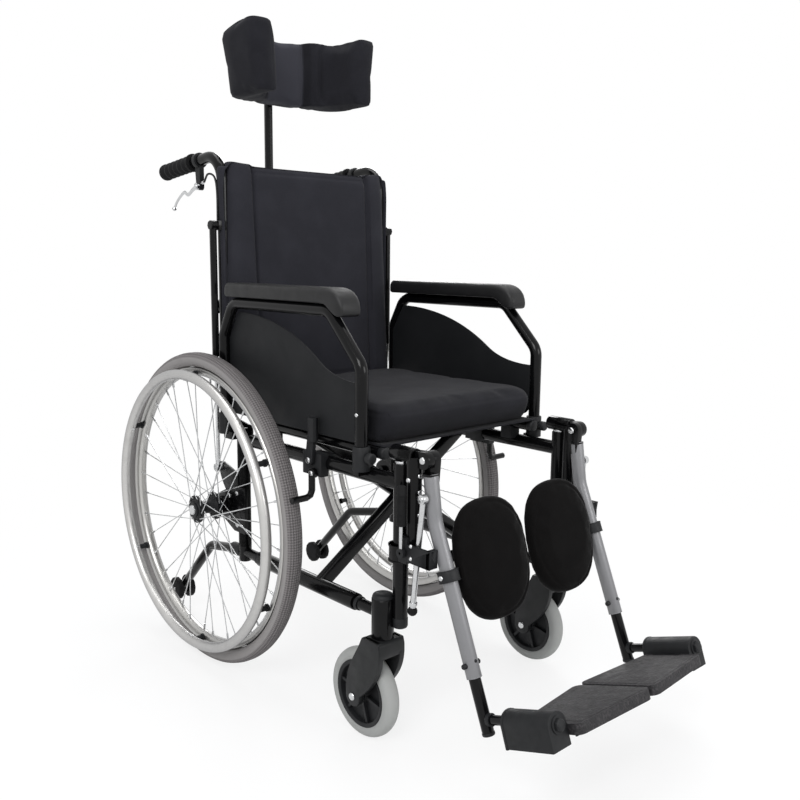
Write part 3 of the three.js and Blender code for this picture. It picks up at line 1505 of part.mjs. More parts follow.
function headrestPad() {
  const shape = new THREE.Shape();
  const tipInner = headHalf - headWing;
  const centreY = headRearY - headCentre;
  const half = headWing / 2;
  shape.moveTo(-headHalf + headWing / 4, headTipY);
  shape.quadraticCurveTo(-headHalf, headTipY, -headHalf, headTipY + half);
  shape.lineTo(-headHalf, headCornerY - half);
  shape.bezierCurveTo(-headHalf, headCornerY + half, -headHalf / 2, headRearY, 0, headRearY);
  shape.bezierCurveTo(headHalf / 2, headRearY, headHalf, headCornerY + half, headHalf, headCornerY - half);
  shape.lineTo(headHalf, headTipY + half);
  shape.quadraticCurveTo(headHalf, headTipY, headHalf - headWing / 4, headTipY);
  shape.quadraticCurveTo(tipInner, headTipY, tipInner, headTipY + headWing / 3);
  shape.bezierCurveTo(tipInner, headCornerY, headHalf / 3, centreY, 0, centreY);
  shape.bezierCurveTo(-headHalf / 3, centreY, -tipInner, headCornerY, -tipInner, headTipY + headWing / 3);
  shape.quadraticCurveTo(-tipInner, headTipY, -headHalf + headWing / 4, headTipY);
  const pad = new THREE.ExtrudeGeometry(shape, {
    depth: headTopZ - headFootZ,
    bevelEnabled: false,
    curveSegments: boreSides,
  });
  pad.translate(0, 0, headFootZ);
  const [earFoot, earTop] = [headPostTopZ - headHingeRadius, headPostTopZ + headHingeRadius];
  const ears = [-1, 1].flatMap((side) => {
    const inner = side * (headHingeHalf + gap);
    const outer = side * (headHingeHalf + spreaderBar);
    return [
      pinAcross(inner, outer, headPostY, headPostTopZ, headHingeRadius),
      box(inner, outer, headRearY - spreaderBar, headPostY, earFoot, earTop),
    ];
  });
  add('headrest_pad', join(pad, ears), 'fabric');
}

crossBrace();
upholstery();
for (const [side, word] of [[-1, 'right'], [1, 'left']]) {
  sideFrame(side, word);
  rearWheel(side, word);
  caster(side, word);
  backCane(side, word);
  handGrip(side, word);
  handLever(side, word);
  reclineSpring(side, word);
  armrest(side, word);
  parkingBrake(side, word);
  antiTipWheels(side, word);
  swingPin(side, word);
  hanger(side, word);
  legTubePart(side, word);
  calfPad(side, word);
  strut(side, word);
  releaseLever(side, word);
  legExtension(side, word);
  footplate(side, word);
}
headrestFrame();
headrestPad();

// The footprint's middle goes to the origin, with the tyres on z = 0.
chair.updateMatrixWorld(true);
const bounds = new THREE.Box3().setFromObject(chair);
chair.position.set(0, -(bounds.min.y + bounds.max.y) / 2, 0);

export default chair;
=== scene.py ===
"""Folding reclining wheelchair: detailed pieces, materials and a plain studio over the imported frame."""

import math

import bmesh
import bpy
from mathutils import Matrix, Vector


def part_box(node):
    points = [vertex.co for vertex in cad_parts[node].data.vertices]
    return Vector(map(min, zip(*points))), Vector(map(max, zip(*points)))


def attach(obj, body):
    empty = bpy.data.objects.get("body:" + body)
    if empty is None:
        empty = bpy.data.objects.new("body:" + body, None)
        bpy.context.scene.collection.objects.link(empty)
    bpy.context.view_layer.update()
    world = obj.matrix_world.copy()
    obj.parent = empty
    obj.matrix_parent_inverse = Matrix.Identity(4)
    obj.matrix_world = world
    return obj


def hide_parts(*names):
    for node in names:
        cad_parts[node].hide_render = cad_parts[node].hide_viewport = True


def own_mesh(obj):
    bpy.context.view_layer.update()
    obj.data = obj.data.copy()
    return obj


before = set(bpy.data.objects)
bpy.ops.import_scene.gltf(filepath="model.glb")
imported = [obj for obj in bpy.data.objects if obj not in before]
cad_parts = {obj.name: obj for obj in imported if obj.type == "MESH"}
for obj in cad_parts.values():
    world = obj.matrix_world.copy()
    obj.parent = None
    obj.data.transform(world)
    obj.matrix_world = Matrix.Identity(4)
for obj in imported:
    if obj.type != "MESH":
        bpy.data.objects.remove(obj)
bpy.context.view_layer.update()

# The chair is laid out in millimetres: y = 0 is the rear axle and z = 0 the floor.
wheel_low, wheel_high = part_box("left_rear_wheel")
AXLE_Y = (wheel_low.y + wheel_high.y) / 2

WHEEL_RADIUS = 305
WHEEL_HALF = 256.5
TYRE_WIDTH, TYRE_DEPTH = 32, 28
RIM_WIDTH, RIM_DEPTH = 24, 16
SPOKES, SPOKE_RADIUS, SPOKE_LACING, SPOKE_OFFSET = 36, 1.0, 62, 1.6
HUB_RADIUS, HUB_CORE, HUB_FLANGE, HUB_HALF = 27, 14, 20, 28
SPOKE_RING, NIPPLE_LENGTH, NIPPLE_RADIUS = 22.2, 13, 2.1
HANDRIM_HALF, HANDRIM_RADIUS, HANDRIM_TUBE = 294.5, 265, 9.5
AXLE_SLEEVE = 13
CASTER_HALF, CASTER_STEM_Y, CASTER_TRAIL = 217.5, -481, 42.4
CASTER_RADIUS, CASTER_WIDTH, CASTER_HUB = 76, 29, 57
FORK_THICKNESS, FORK_GAP, FORK_CROWN_Z, FORK_BOSS = 11, 3, 158, 17
HOUSING_RADIUS, HOUSING_Z, HOUSING_HEIGHT = 18.5, 187, 74
FRAME_HALF, FRAME_TUBE = 200, 12.5
LOWER_TUBE, LOWER_Z, UPPER_Z = 10, 215, 444
REAR_POST_Y, REAR_POST_FOOT, REAR_POST_TOP = -52, 198, 466
FRONT_POST_Y, FRONT_POST_FOOT, FRONT_POST_TOP = -503, 205, 476
AXLE_PLATE, AXLE_PLATE_RADIUS, AXLE_PLATE_WIDTH, AXLE_PLATE_HEIGHT = 8, 25, 26, 92
RAIL_HALF, RAIL_Z, RAIL_RADIUS = 188, 480.5, 10.5
RAIL_FRONT_Y, RAIL_REAR_Y = -455, -72
SLEEVE_RADIUS, SLEEVE_FRONT_Y, SLEEVE_REAR_Y = 14.5, -395, -110
BRACE_Y, BRACE_WIDTH, BRACE_THICKNESS = -300, 28, 18
SADDLE_LENGTH, SADDLE_HALF, SADDLE_RISE = 26, 12.5, 19
CHEEK_GAP, CHEEK_THICKNESS = 6.3, 6
CUSHION_HALF, CUSHION_FRONT_Y, CUSHION_REAR_Y = 197, -466, -42
CUSHION_FOOT_Z, CUSHION_THICKNESS = 494.1, 58
BACK_HALF, BACK_FOOT_Z, BACK_TOP_Z = 198, 556, 974
CANE_HALF, CANE_Y, CANE_RADIUS, CANE_PIVOT_Z, CANE_TOP_Z = 198, 8, 11, 470, 986
CANE_EYE, CANE_BEND = 13, 48
HANDLE_END_Y, HANDLE_END_Z = 223, 962
GRIP_LENGTH, GRIP_RADIUS = 116, 15.5
LEVER_BRACKET_Y, LEVER_PIVOT_Y, LEVER_PIVOT_Z, LEVER_BRACKET = 92, 90, 927, 10
LEVER_BLADE = ((LEVER_PIVOT_Y, LEVER_PIVOT_Z), (106, 921), (124, 912.5), (138, 917.5), (154, 911),
    (171, 899), (181, 887))
SPRING_HALF, SPRING_FOOT_Y, SPRING_FOOT_Z = 222, 5, 380
SPRING_TOP_Y, SPRING_TOP_Z, SPRING_RADIUS, SPRING_EYE = 6, 850, 7, 9
ARM_HALF, ARM_TUBE, ARM_FRONT_Y, ARM_REAR_Y = 219, 10.85, -428, -22
ARM_FOOT_Z, ARM_KNEE_Z, ARM_RAIL_Z, ARM_BEND = 459, 622, 712, 34
ARM_PAD_FRONT_Y = -346
SOCKET_RADIUS, SOCKET_TOP_Z = 14.5, 493
PAD_HALF, PAD_WIDTH, PAD_HEIGHT = 209, 48, 26
PAD_REAR_Y, PAD_ROUND, PAD_CROWN = -41, 9, 1.2
PAD_STATIONS = (-80, -120, -160, -200, -240, -280, -310, -330)
GUARD_HALF, GUARD_THICKNESS, GUARD_FOOT_Z, GUARD_REAR_Z, GUARD_FRONT_Z = 212, 3, 494, 690, 592
BRAKE_Y, BRAKE_HALF, BRAKE_LEVER_Z, BRAKE_PLATE = -300, 226, 449, 7.5
BRAKE_SHOE_Y, BRAKE_SHOE_Z = -308, 427
TIP_TUBE, TIP_HALF, TIP_BEND_Y, TIP_BEND_Z, TIP_END_Y, TIP_END_Z = 9.5, 189, 95, 190, 224, 60
TIP_WHEEL_WIDTH, TIP_EYE = 10, 9.5
HANGER_HALF, HANGER_TUBE, HANGER_ARM_Z, HANGER_ARM = 198, 12.5, 491, 13
HANGER_DROP_Y, HANGER_DROP_Z, HANGER_SCREW_ZS = -529.5, 352, (462, 436, 400)
KNEE_Y, KNEE_Z, KNEE_RADIUS, KNEE_THICKNESS, KNEE_FACE = -551, 488, 14, 13, 188
BLOCK_FOOT_Z, BLOCK_TOP_Z, BLOCK_WALL, BLOCK_OUTER = 322, 364, 4.5, 216
BLOCK_REAR_Y, BLOCK_MID_Y, BLOCK_FRONT_Y, BLOCK_SLOT_Y = -514, -533, -584, -575.5
COLLAR_RADIUS, COLLAR_HEIGHT = 19, 24
LEG_HALF, LEG_TUBE, LEG_TOP_Y, LEG_TOP_Z = 186, 12, -554, 466
LEG_BEND_Y, LEG_BEND_Z, LEG_END_Y, LEG_END_Z, LEG_BEND = -564.5, 392.7, -654, 170, 70
STRUT_HALF, STRUT_EYE_Y, STRUT_EYE_Z = 206, -558, 430
STRUT_FOOT_Y, STRUT_FOOT_Z, STRUT_RADIUS, STRUT_BALL = -538, 245, 4.8, 8
RELEASE_HALF, RELEASE_Y, RELEASE_Z, RELEASE_BOSS = 221, -526, 340, 8
RELEASE_ROD, RELEASE_GRIP, RELEASE_GRIP_Z, RELEASE_TOP_Z = 3.2, 7.5, 384, 448
CALF_CLAMP_Z, CALF_CLAMP, CALF_CLAMP_HEIGHT, CALF_REACH = 314, 17, 18, 20
CALF_PAD_HALF, CALF_PAD_Y, CALF_PAD_Z = 88, -597, 322
CALF_PAD_WIDTH, CALF_PAD_HEIGHT, CALF_PAD_THICKNESS, CALF_TILT = 163, 198, 34, 15
CALF_HINGE, CALF_BOSS = 8, 9
EXTENSION_TUBE, ELBOW_Z, STUB = 9.5, 112, 22
FOOT_PITCH, FOOT_PIN, FOOT_PIN_LENGTH, FOOT_PIN_HEAD = 19.5, 7.5, 142, 10
BLOCK_START, BLOCK_END, FOOT_BLOCK_HALF, FOOT_BLOCK_TOP, FOOT_BLOCK_DROP = 50, 140, 20, 18, 34
PLATE_THICKNESS, PLATE_DROP, PLATE_GAP = 16, 5, 3
PLATE_INNER_START, PLATE_INNER_END, PLATE_OUTER_START, PLATE_OUTER_END = 33, 174, 56, 162
HEAD_HALF, HEAD_FOOT_Z, HEAD_TOP_Z, HEAD_REAR_Y = 136, 1102, 1238, 126
HEAD_CORNER_Y, HEAD_TIP_Y, HEAD_WING, HEAD_CENTRE, HEAD_PANEL = 80, -43, 40, 34, 47
HEAD_HINGE_Y, HEAD_HINGE_Z, HEAD_EAR_START, HEAD_EAR_END = 141, 1132, 14.3, 20
SLING_HALF, CLOTH_THICKNESS = 193, 1.6
CLOTH_FRAMES, CLOTH_MASS, CLOTH_QUALITY, CLOTH_STIFFNESS, CLOTH_BENDING = 20, 0.3, 4, 12, 1.5
CLOTH_PRESSURE = 4.0
LAMPS = (("key", (-2.6, -1.6, 2.6), (1.6, 1.6), 70), ("front", (0.9, -3.4, 1.6), (1.8, 1.2), 38),
    ("top", (0.2, 0.3, 3.4), (2.0, 2.0), 45), ("rear", (2.2, 2.6, 1.8), (1.2, 1.6), 40))
LAMP_AIM, FLOOR_SIZE = (0, 0, 0.55), 30

SHARP_ANGLE = 38
SIDES = ((-1, "right"), (1, "left"))
CAMERA = Vector((-1.11947, -1.49063 + AXLE_Y, 0.79396))
CAMERA_YAW, CAMERA_PITCH, CAMERA_ROLL = 0.74695, 0.160153, 0.0106376
CAMERA_FOCAL, PICTURE, SENSOR, CLIP = 884.14, 800, 36, (0.05, 100)
WORLD_COLOUR, WORLD_STRENGTH = (0.95, 0.97, 1, 1), 0.55
FLOOR_COLOUR, FLOOR_ROUGHNESS = (0.85, 0.85, 0.85, 1), 0.9
FLOOR_FADE, FLOOR_DROP = (0.7, 1.7, 0.8, 1.0), 0.0006
WHITE = (1, 1, 1, 1)


def at(x, y, z):
    """A place in the chair's own millimetres, in the row frame's metres."""
    return Vector((x / 1000, y / 1000 + AXLE_Y, z / 1000))


def mm(x, y, z):
    """A shift or a local place in millimetres, in metres."""
    return Vector((x, y, z)) / 1000


# Shapes
def skin(rings, joined=False):
    """A skin over rings of points, closed at both ends unless the last ring joins the first."""
    points = [p for ring in rings for p in ring]
    size, count = len(rings[0]), len(rings)
    faces = []
    for i in range(count if joined else count - 1):
        a, b = i * size, ((i + 1) % count) * size
        for j in range(size):
            k = (j + 1) % size
            faces.append((a + j, a + k, b + k, b + j))
    if not joined:
        faces.append(tuple(reversed(range(size))))
        faces.append(tuple(range((count - 1) * size, count * size)))
    return points, faces


def bent(points, bend, steps):
    """Places and directions along straight runs joined by round bends."""
    first = (points[1] - points[0]).normalized()
    line = [(points[0], first)]
    for before, corner, after in zip(points, points[1:], points[2:]):
        into, out = (corner - before).normalized(), (after - corner).normalized()
        turn = into.angle(out)
        start = corner - into * bend * math.tan(turn / 2)
        inward = (out - into * into.dot(out)).normalized()
        centre = start + inward * bend
        for i in range(steps + 1):
            angle = turn * i / steps
            place = centre - inward * bend * math.cos(angle) + into * bend * math.sin(angle)
            line.append((place, into * math.cos(angle) + inward * math.sin(angle)))
    line.append((points[-1], (points[-1] - points[-2]).normalized()))
    return line


def sweep(line, section):
    """A section of (u, v) in millimetres drawn along places and directions."""
    axis = line[0][1]
    side = axis.cross(Vector((1, 0, 0)) if abs(axis.x) < 0.9 else Vector((0, 0, 1))).normalized()
    rings = []
    for place, way in line:
        side = (side - way * side.dot(way)).normalized()
        up = way.cross(side)
        rings.append([place + side * (u / 1000) + up * (v / 1000) for u, v in section])
    return skin(rings)


def full_turn(count):
    return [2 * math.pi * i / count for i in range(count)]


def circle(radius, sides):
    return [(radius * math.cos(a), radius * math.sin(a)) for a in full_turn(sides)]


def mirrored(half, middle=()):
    """A profile of (radius, along): the half that is given, and before it the same half at minus along."""
    return [(r, -a) for r, a in half] + list(middle) + [(r, a) for r, a in reversed(half)]


def clamped(value, low=0, high=1):
    return max(low, min(high, value))


def corner_arcs(corners, steps):
    """Quarter rounds one after another. corners is [((x, y), radius, start in degrees)]."""
    outline = []
    for centre, radius, start in corners:
        outline += arc(centre, radius, math.radians(start), math.radians(start + 90), steps)
    return outline


def shown(made):
    """Puts an object into the scene."""
    bpy.context.scene.collection.objects.link(made)
    return made


def evaluated(made):
    """A new mesh of an object with its modifiers applied."""
    return bpy.data.meshes.new_from_object(made.evaluated_get(bpy.context.evaluated_depsgraph_get()))


def smooth_faces(mesh):
    for polygon in mesh.polygons:
        polygon.use_smooth = True


def tube(points, radius, bend=0, sides=24, steps=10):
    return sweep(bent(points, bend / 1000, steps), circle(radius, sides))


def rod(a, b, radius, sides=24):
    return tube([a, b], radius, sides=sides)


def capped(a, b, radius, cap=2.0, sides=24):
    """A rod with a softly rounded far end."""
    way = (b - a).normalized()
    rings = [(a, radius), (b - way * cap / 1000, radius), (b - way * cap * 0.3 / 1000, radius - cap * 0.3),
        (b, radius - cap)]
    side = way.cross(Vector((1, 0, 0)) if abs(way.x) < 0.9 else Vector((0, 0, 1))).normalized()
    up = way.cross(side)
    return skin([[p + (side * u + up * v) / 1000 for u, v in circle(r, sides)] for p, r in rings])


def capped_rod(a, b, radius, sides, cap):
    return capped(a, b, radius, cap, sides) if cap else rod(a, b, radius, sides)


def stretch(place, way, start, end, radius, sides=24, cap=0):
    """A rod between two distances from a place in the direction of a way."""
    return capped_rod(place + way * start / 1000, place + way * end / 1000, radius, sides, cap)


def upright(x, y, z0, z1, radius, sides=24, cap=0):
    return capped_rod(at(x, y, z0), at(x, y, z1), radius, sides, cap)


def lengthwise(x, y0, y1, z, radius, sides=24, cap=0):
    return capped_rod(at(x, y0, z), at(x, y1, z), radius, sides, cap)


def pin(x0, x1, y, z, radius, sides=20):
    return rod(at(x0, y, z), at(x1, y, z), radius, sides)


def across(outline, x0, x1):
    """An outline of (y, z) pulled along x."""
    return skin([[at(x, y, z) for y, z in outline] for x in (x0, x1)])


def block(x0, x1, y0, y1, z0, z1):
    return across([(y0, z0), (y1, z0), (y1, z1), (y0, z1)], x0, x1)


def arc(centre, radius, start, end, steps=8):
    return [(centre[0] + radius * math.cos(start + (end - start) * i / steps),
            centre[1] + radius * math.sin(start + (end - start) * i / steps)) for i in range(steps + 1)]


def link(a, a_radius, b, b_radius):
    """The outline round two circles."""
    heading = math.atan2(b[1] - a[1], b[0] - a[0])
    spread = math.acos((a_radius - b_radius) / math.hypot(b[0] - a[0], b[1] - a[1]))
    return (arc(a, a_radius, heading + spread, heading - spread + 2 * math.pi, 16)
        + arc(b, b_radius, heading - spread, heading + spread, 12))


def bezier(*places, steps=12):
    """Points of a curve with three or four control places, without its first."""
    points = []
    for i in range(1, steps + 1):
        run, t = [Vector(p) for p in places], i / steps
        while len(run) > 1:
            run = [p.lerp(q, t) for p, q in zip(run, run[1:])]
        points.append(tuple(run[0]))
    return points


def drawn(start, *runs):
    """An outline from a start on. A place is a straight run, and [steps, place, place ...] is a curve."""
    outline = [start]
    for run in runs:
        if isinstance(run, list):
            outline += bezier(outline[-1], *run[1:], steps=run[0])
        else:
            outline.append(run)
    return outline


def turned(profile, centre, sides=48, closed=False):
    """A profile of (radius, along) in millimetres turned round an axis across the chair."""
    rings = [[centre + mm(along, r * math.cos(a), r * math.sin(a)) for r, along in profile]
        for a in full_turn(sides)]
    points, faces = skin(rings, joined=True)
    if not closed:
        size = len(profile)
        faces = [f for f in faces if not ({f[0] % size, f[1] % size} == {0, size - 1})]
    return points, faces


def ball_at(centre, radius, steps, sides):
    profile = [(radius * math.sin(math.pi * i / steps), radius * math.cos(math.pi * i / steps))
        for i in range(1, steps)]
    return turned(profile, centre, sides=sides, closed=True)


def moved(solids, matrix):
    return [([matrix @ p for p in points], faces) for points, faces in solids]


def mesh_of(solids, name="shape"):
    """One mesh of several closed solids, each with its faces outward."""
    made = bmesh.new()
    for points, faces in solids:
        corners = [made.verts.new(p) for p in points]
        for face in faces:
            made.faces.new([corners[i] for i in face])
    bmesh.ops.remove_doubles(made, verts=made.verts, dist=1e-6)
    bmesh.ops.dissolve_degenerate(made, edges=made.edges, dist=1e-7)
    bmesh.ops.recalc_face_normals(made, faces=made.faces)
    mesh = bpy.data.meshes.new(name)
    made.to_mesh(mesh)
    made.free()
    return mesh


def finished(mesh, bevel):
    """Rounds a mesh's sharp edges a little and shades the rest smooth."""
    made = bmesh.new()
    made.from_mesh(mesh)
    limit = math.radians(SHARP_ANGLE)

    def sharp_edges():
        return [e for e in made.edges if len(e.link_faces) == 2 and e.calc_face_angle(0) > limit]

    if bevel:
        bmesh.ops.bevel(made, geom=sharp_edges(), offset=bevel / 1000, segments=2, profile=0.7,
            affect="EDGES", clamp_overlap=True)
    for face in made.faces:
        face.smooth = True
    for edge in sharp_edges():
        edge.smooth = False
    made.to_mesh(mesh)
    made.free()


def piece(name, body, nodes, groups, bevel=0.8, origin=None):
    """One object of several finishes that stands for CAD nodes. groups is [(material, solids)]."""
    parts = []
    for finish, solids in groups:
        mesh = mesh_of(solids, name)
        finished(mesh, bevel)
        parts.append((finish, mesh))
    whole = bmesh.new()
    for slot, (_, mesh) in enumerate(parts):
        start = len(whole.faces)
        whole.from_mesh(mesh)
        whole.faces.ensure_lookup_table()
        for face in whole.faces[start:]:
            face.material_index = slot
        bpy.data.meshes.remove(mesh)
    mesh = bpy.data.meshes.new(name)
    place = origin or Vector((0, 0, 0))
    for vert in whole.verts:
        vert.co -= place
    whole.to_mesh(mesh)
    whole.free()
    for finish, _ in parts:
        mesh.materials.append(finish)
    made = shown(bpy.data.objects.new(name, mesh))
    made.location = place
    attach(made, body)
    if nodes:
        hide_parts(*nodes)
    return made


def side_piece(word, name, body, node, groups, **more):
    """A piece of one side of the chair. word is that side's word."""
    return piece(f"{word}_{name}", f"{word}_{body}", [f"{word}_{node}"], groups, **more)


# Materials
def linear(hexed):
    """A colour written as in a picture, in the renderer's own scale."""
    shares = [(hexed >> shift & 255) / 255 for shift in (16, 8, 0)]
    return tuple(s / 12.92 if s <= 0.04045 else ((s + 0.055) / 1.055) ** 2.4 for s in shares) + (1,)


class Finish:
    """A material built up from procedural parts in object coordinates."""

    def __init__(self, name, colour, roughness, metallic=0.0, specular=0.5, coat=0.0, coat_roughness=0.1,
        sheen=0.0, sheen_roughness=0.5):
        self.material = bpy.data.materials.new(name)
        self.material.use_nodes = True
        self.tree = self.material.node_tree
        self.shader = self.tree.nodes["Principled BSDF"]
        for socket, value in (("Base Color", linear(colour)), ("Roughness", roughness),
            ("Metallic", metallic), ("Specular IOR Level", specular), ("Coat Weight", coat),
            ("Coat Roughness", coat_roughness), ("Sheen Weight", sheen),
            ("Sheen Roughness", sheen_roughness)):
            self.shader.inputs[socket].default_value = value
        self.colour, self.roughness = linear(colour), roughness
        self.where = self.node("ShaderNodeTexCoord").outputs["Object"]
        self.normal = None

    def node(self, kind, **settings):
        made = self.tree.nodes.new(kind)
        for key, value in settings.items():
            setattr(made, key, value)
        return made

    def join(self, source, target):
        self.tree.links.new(source, target)

    def maths(self, operation, *values):
        made = self.node("ShaderNodeMath", operation=operation)
        for socket, value in zip(made.inputs, values):
            if isinstance(value, (int, float)):
                socket.default_value = value
            else:
                self.join(value, socket)
        return made.outputs[0]

    def parts(self):
        made = self.node("ShaderNodeSeparateXYZ")
        self.join(self.where, made.inputs[0])
        return made.outputs

    def noise(self, scale, detail=3.0):
        made = self.node("ShaderNodeTexNoise")
        made.inputs["Scale"].default_value = scale
        made.inputs["Detail"].default_value = detail
        self.join(self.where, made.inputs["Vector"])
        return made.outputs["Fac"]

    def ramp(self, value, low, high, to_low=0.0, to_high=1.0):
        made = self.node("ShaderNodeMapRange")
        for socket, number in zip(made.inputs[1:5], (low, high, to_low, to_high)):
            socket.default_value = number
        self.join(value, made.inputs[0])
        return made.outputs[0]

    def tint(self, value, colour):
        """Mixes the colour so far towards another one where value is high."""
        made = self.node("ShaderNodeMix", data_type="RGBA")
        made.inputs["A"].default_value = self.colour
        made.inputs["B"].default_value = linear(colour)
        base = self.shader.inputs["Base Color"]
        if base.is_linked:
            self.join(base.links[0].from_socket, made.inputs["A"])
        self.join(value, made.inputs["Factor"])
        self.join(made.outputs["Result"], base)
        return self

    def rough(self, value, spread):
        """Lets the roughness wander by spread either side."""
        self.join(self.ramp(value, 0.3, 0.7, self.roughness - spread, self.roughness + spread),
            self.shader.inputs["Roughness"])
        return self

    def bump(self, height, distance, strength=1.0):
        made = self.node("ShaderNodeBump")
        made.inputs["Strength"].default_value = strength
        made.inputs["Distance"].default_value = distance
        self.join(height, made.inputs["Height"])
        if self.normal:
            self.join(self.normal, made.inputs["Normal"])
        self.normal = made.outputs[0]
        self.join(self.normal, self.shader.inputs["Normal"])
        return self

    def rounded(self, radius):
        """Shades a faceted CAD solid as if it were round."""
        made = self.node("ShaderNodeBevel", samples=6)
        made.inputs["Radius"].default_value = radius / 1000
        self.normal = made.outputs[0]
        self.join(self.normal, self.shader.inputs["Normal"])
        return self


def wear_and_edge_shade_finish(name, colour, roughness, wander, wear_and_shade_patches, grain, rounding=0, **more):
    """A finish whose roughness wanders, with patches of other colours and a fine grain.

    wander is (scale, detail, spread), a patch (scale, detail, low, high, most, colour) and grain
    (scale, detail, depth, strength). A patch with no scale is painted shade: it follows the angle that
    the surface is seen at, and tints most where the surface is seen edge-on.
    """
    made = Finish(name, colour, roughness, **more)
    if rounding:
        made.rounded(rounding)
    made.rough(made.noise(*wander[:2]), wander[2])
    for scale, detail, low, high, most, other in wear_and_shade_patches:
        if scale:
            value = made.noise(scale, detail)
        else:
            # Painted shade: this patch tints the colour most where the surface is seen edge-on.
            facing = made.node("ShaderNodeLayerWeight")
            facing.inputs["Blend"].default_value = detail
            value = facing.outputs["Facing"]
        made.tint(made.ramp(value, low, high, 0, most), other)
    return made.bump(made.noise(*grain[:2]), *grain[2:]).material


def frame_finish(name, rounding=0):
    """Powder coat: faint orange peel, dust and rubbed patches."""
    return wear_and_edge_shade_finish(name, 0x09090A, 0.17, (38, 3, 0.05), [(90, 4, 0.62, 0.78, 0.3, 0x1E1E20)],
        (650, 2, 0.00006, 0.5), rounding, specular=0.16, coat=0.05, coat_roughness=0.06)


def plastic_finish(name, colour=0x141517, roughness=0.55, rounding=0):
    return wear_and_edge_shade_finish(name, colour, roughness, (60, 3, 0.08), [(45, 5, 0.5, 0.8, 0.3, 0x222325)],
        (1100, 3, 0.00015, 0.6), rounding, specular=0.28)


def rubber_finish(name, rounding=0):
    return wear_and_edge_shade_finish(name, 0x101011, 0.78, (80, 3, 0.08), [(70, 5, 0.5, 0.8, 0.4, 0x1D1D1E)],
        (900, 3, 0.0002, 0.7), rounding, specular=0.2)


def alloy_finish(name, colour=0xBDBCB9, roughness=0.34):
    # The second patch is painted shade: it darkens the metal towards its rims, where it is seen edge-on.
    return wear_and_edge_shade_finish(name, colour, roughness, (220, 3, 0.05),
        [(55, 5, 0.5, 0.75, 0.35, 0xACABA8), (None, 0.4, 0.15, 0.85, 0.75, 0x77777A)],
        (500, 2, 0.00001, 0.3), metallic=0.85)


def steel_finish(name, rounding=0):
    return wear_and_edge_shade_finish(name, 0xC9CACB, 0.24, (500, 4, 0.07), [(120, 5, 0.5, 0.8, 0.5, 0x9D9EA0)],
        (1400, 2, 0.00003, 0.5), rounding, metallic=1.0)


def tyre_finish(name):
    """Grey solid tyre: smooth walls and a knurled tread."""
    made = Finish(name, 0x8D8A89, 0.82, specular=0.25)
    x, y, z = made.parts()
    angle = made.maths("ARCTAN2", z, y)
    turns = made.maths("MULTIPLY", angle, 200)
    leaned = made.maths("MULTIPLY", x, 700)
    first = made.maths("SINE", made.maths("ADD", turns, leaned))
    second = made.maths("SINE", made.maths("SUBTRACT", turns, leaned))
    knurl = made.maths("MULTIPLY", first, second)
    radius = made.maths("SQRT", made.maths("ADD", made.maths("MULTIPLY", y, y),
            made.maths("MULTIPLY", z, z)))
    tread = made.ramp(radius, (WHEEL_RADIUS - 10) / 1000, (WHEEL_RADIUS - 6) / 1000)
    grooves = made.maths("MULTIPLY", made.ramp(knurl, -0.2, 0.3), tread)
    made.tint(tread, 0x7A7676)
    # Painted shade: the grooves of the knurl on the tread are darkened.
    made.tint(made.maths("MULTIPLY", made.ramp(knurl, 0.15, -0.25), tread), 0x565353)
    made.tint(made.ramp(made.noise(40, 5), 0.55, 0.8, 0, 0.3), 0x777373)
    made.bump(grooves, 0.0011, 0.9)
    return made.bump(made.noise(900, 3), 0.00015, 0.6).material


def weave(made, pitch, first="x", second="y", depth=0.00022):
    """A plain weave of two threads, over the object's own coordinates."""
    places = dict(zip("xyz", made.parts()))
    turns = 2 * math.pi / pitch * 1000
    warp = made.maths("SINE", made.maths("MULTIPLY", places[first], turns))
    weft = made.maths("SINE", made.maths("MULTIPLY", places[second], turns))
    return made.bump(made.ramp(made.maths("MULTIPLY", warp, weft), -1, 1), depth, 0.6)


def fabric_finish(name, colour, first, second, lint=0x2E2E33, panel=0):
    made = Finish(name, colour, 0.92, specular=0.06, sheen=0.05, sheen_roughness=0.5)
    made.rough(made.noise(30), 0.05)
    made.tint(made.ramp(made.noise(18, 5), 0.45, 0.8, 0, 0.35), lint)
    made.tint(made.ramp(made.noise(1300, 2), 0.5, 0.75, 0, 0.4), lint)
    if panel:
        x, y, _ = made.parts()
        width = made.ramp(made.maths("ABSOLUTE", x), (panel + 1) / 1000, (panel - 2) / 1000)
        face = AXLE_Y + (HEAD_REAR_Y - HEAD_CENTRE / 2) / 1000
        made.tint(made.maths("MULTIPLY", width, made.ramp(y, face + 0.003, face - 0.003)), 0x37373D)
    made.bump(made.noise(16, 3), 0.0025, 0.5)
    return weave(made, 1.7, first, second).material


def pad_finish(name):
    """Stretch cover of the calf pads: nearly black, softly furred."""
    made = Finish(name, 0x0C0B0B, 0.9, specular=0.06, sheen=0.1, sheen_roughness=0.3)
    made.rough(made.noise(40), 0.05)
    made.tint(made.ramp(made.noise(1500, 2), 0.5, 0.75, 0, 0.5), 0x171616)
    made.bump(made.noise(30, 3), 0.0012, 0.4)
    return weave(made, 1.2, "x", "z", 0.00015).material


def skin_finish(name):
    """Moulded foam skin of the arm pads, with a fine leather grain."""
    made = Finish(name, 0x131314, 0.46, specular=0.3)
    cells = made.node("ShaderNodeTexVoronoi", feature="DISTANCE_TO_EDGE")
    cells.inputs["Scale"].default_value = 420
    made.join(made.where, cells.inputs["Vector"])
    made.rough(made.noise(50), 0.07)
    made.tint(made.ramp(made.noise(60, 5), 0.5, 0.8, 0, 0.4), 0x1E1E20)
    return made.bump(made.ramp(cells.outputs["Distance"], 0, 0.2), 0.00012, 0.6).material


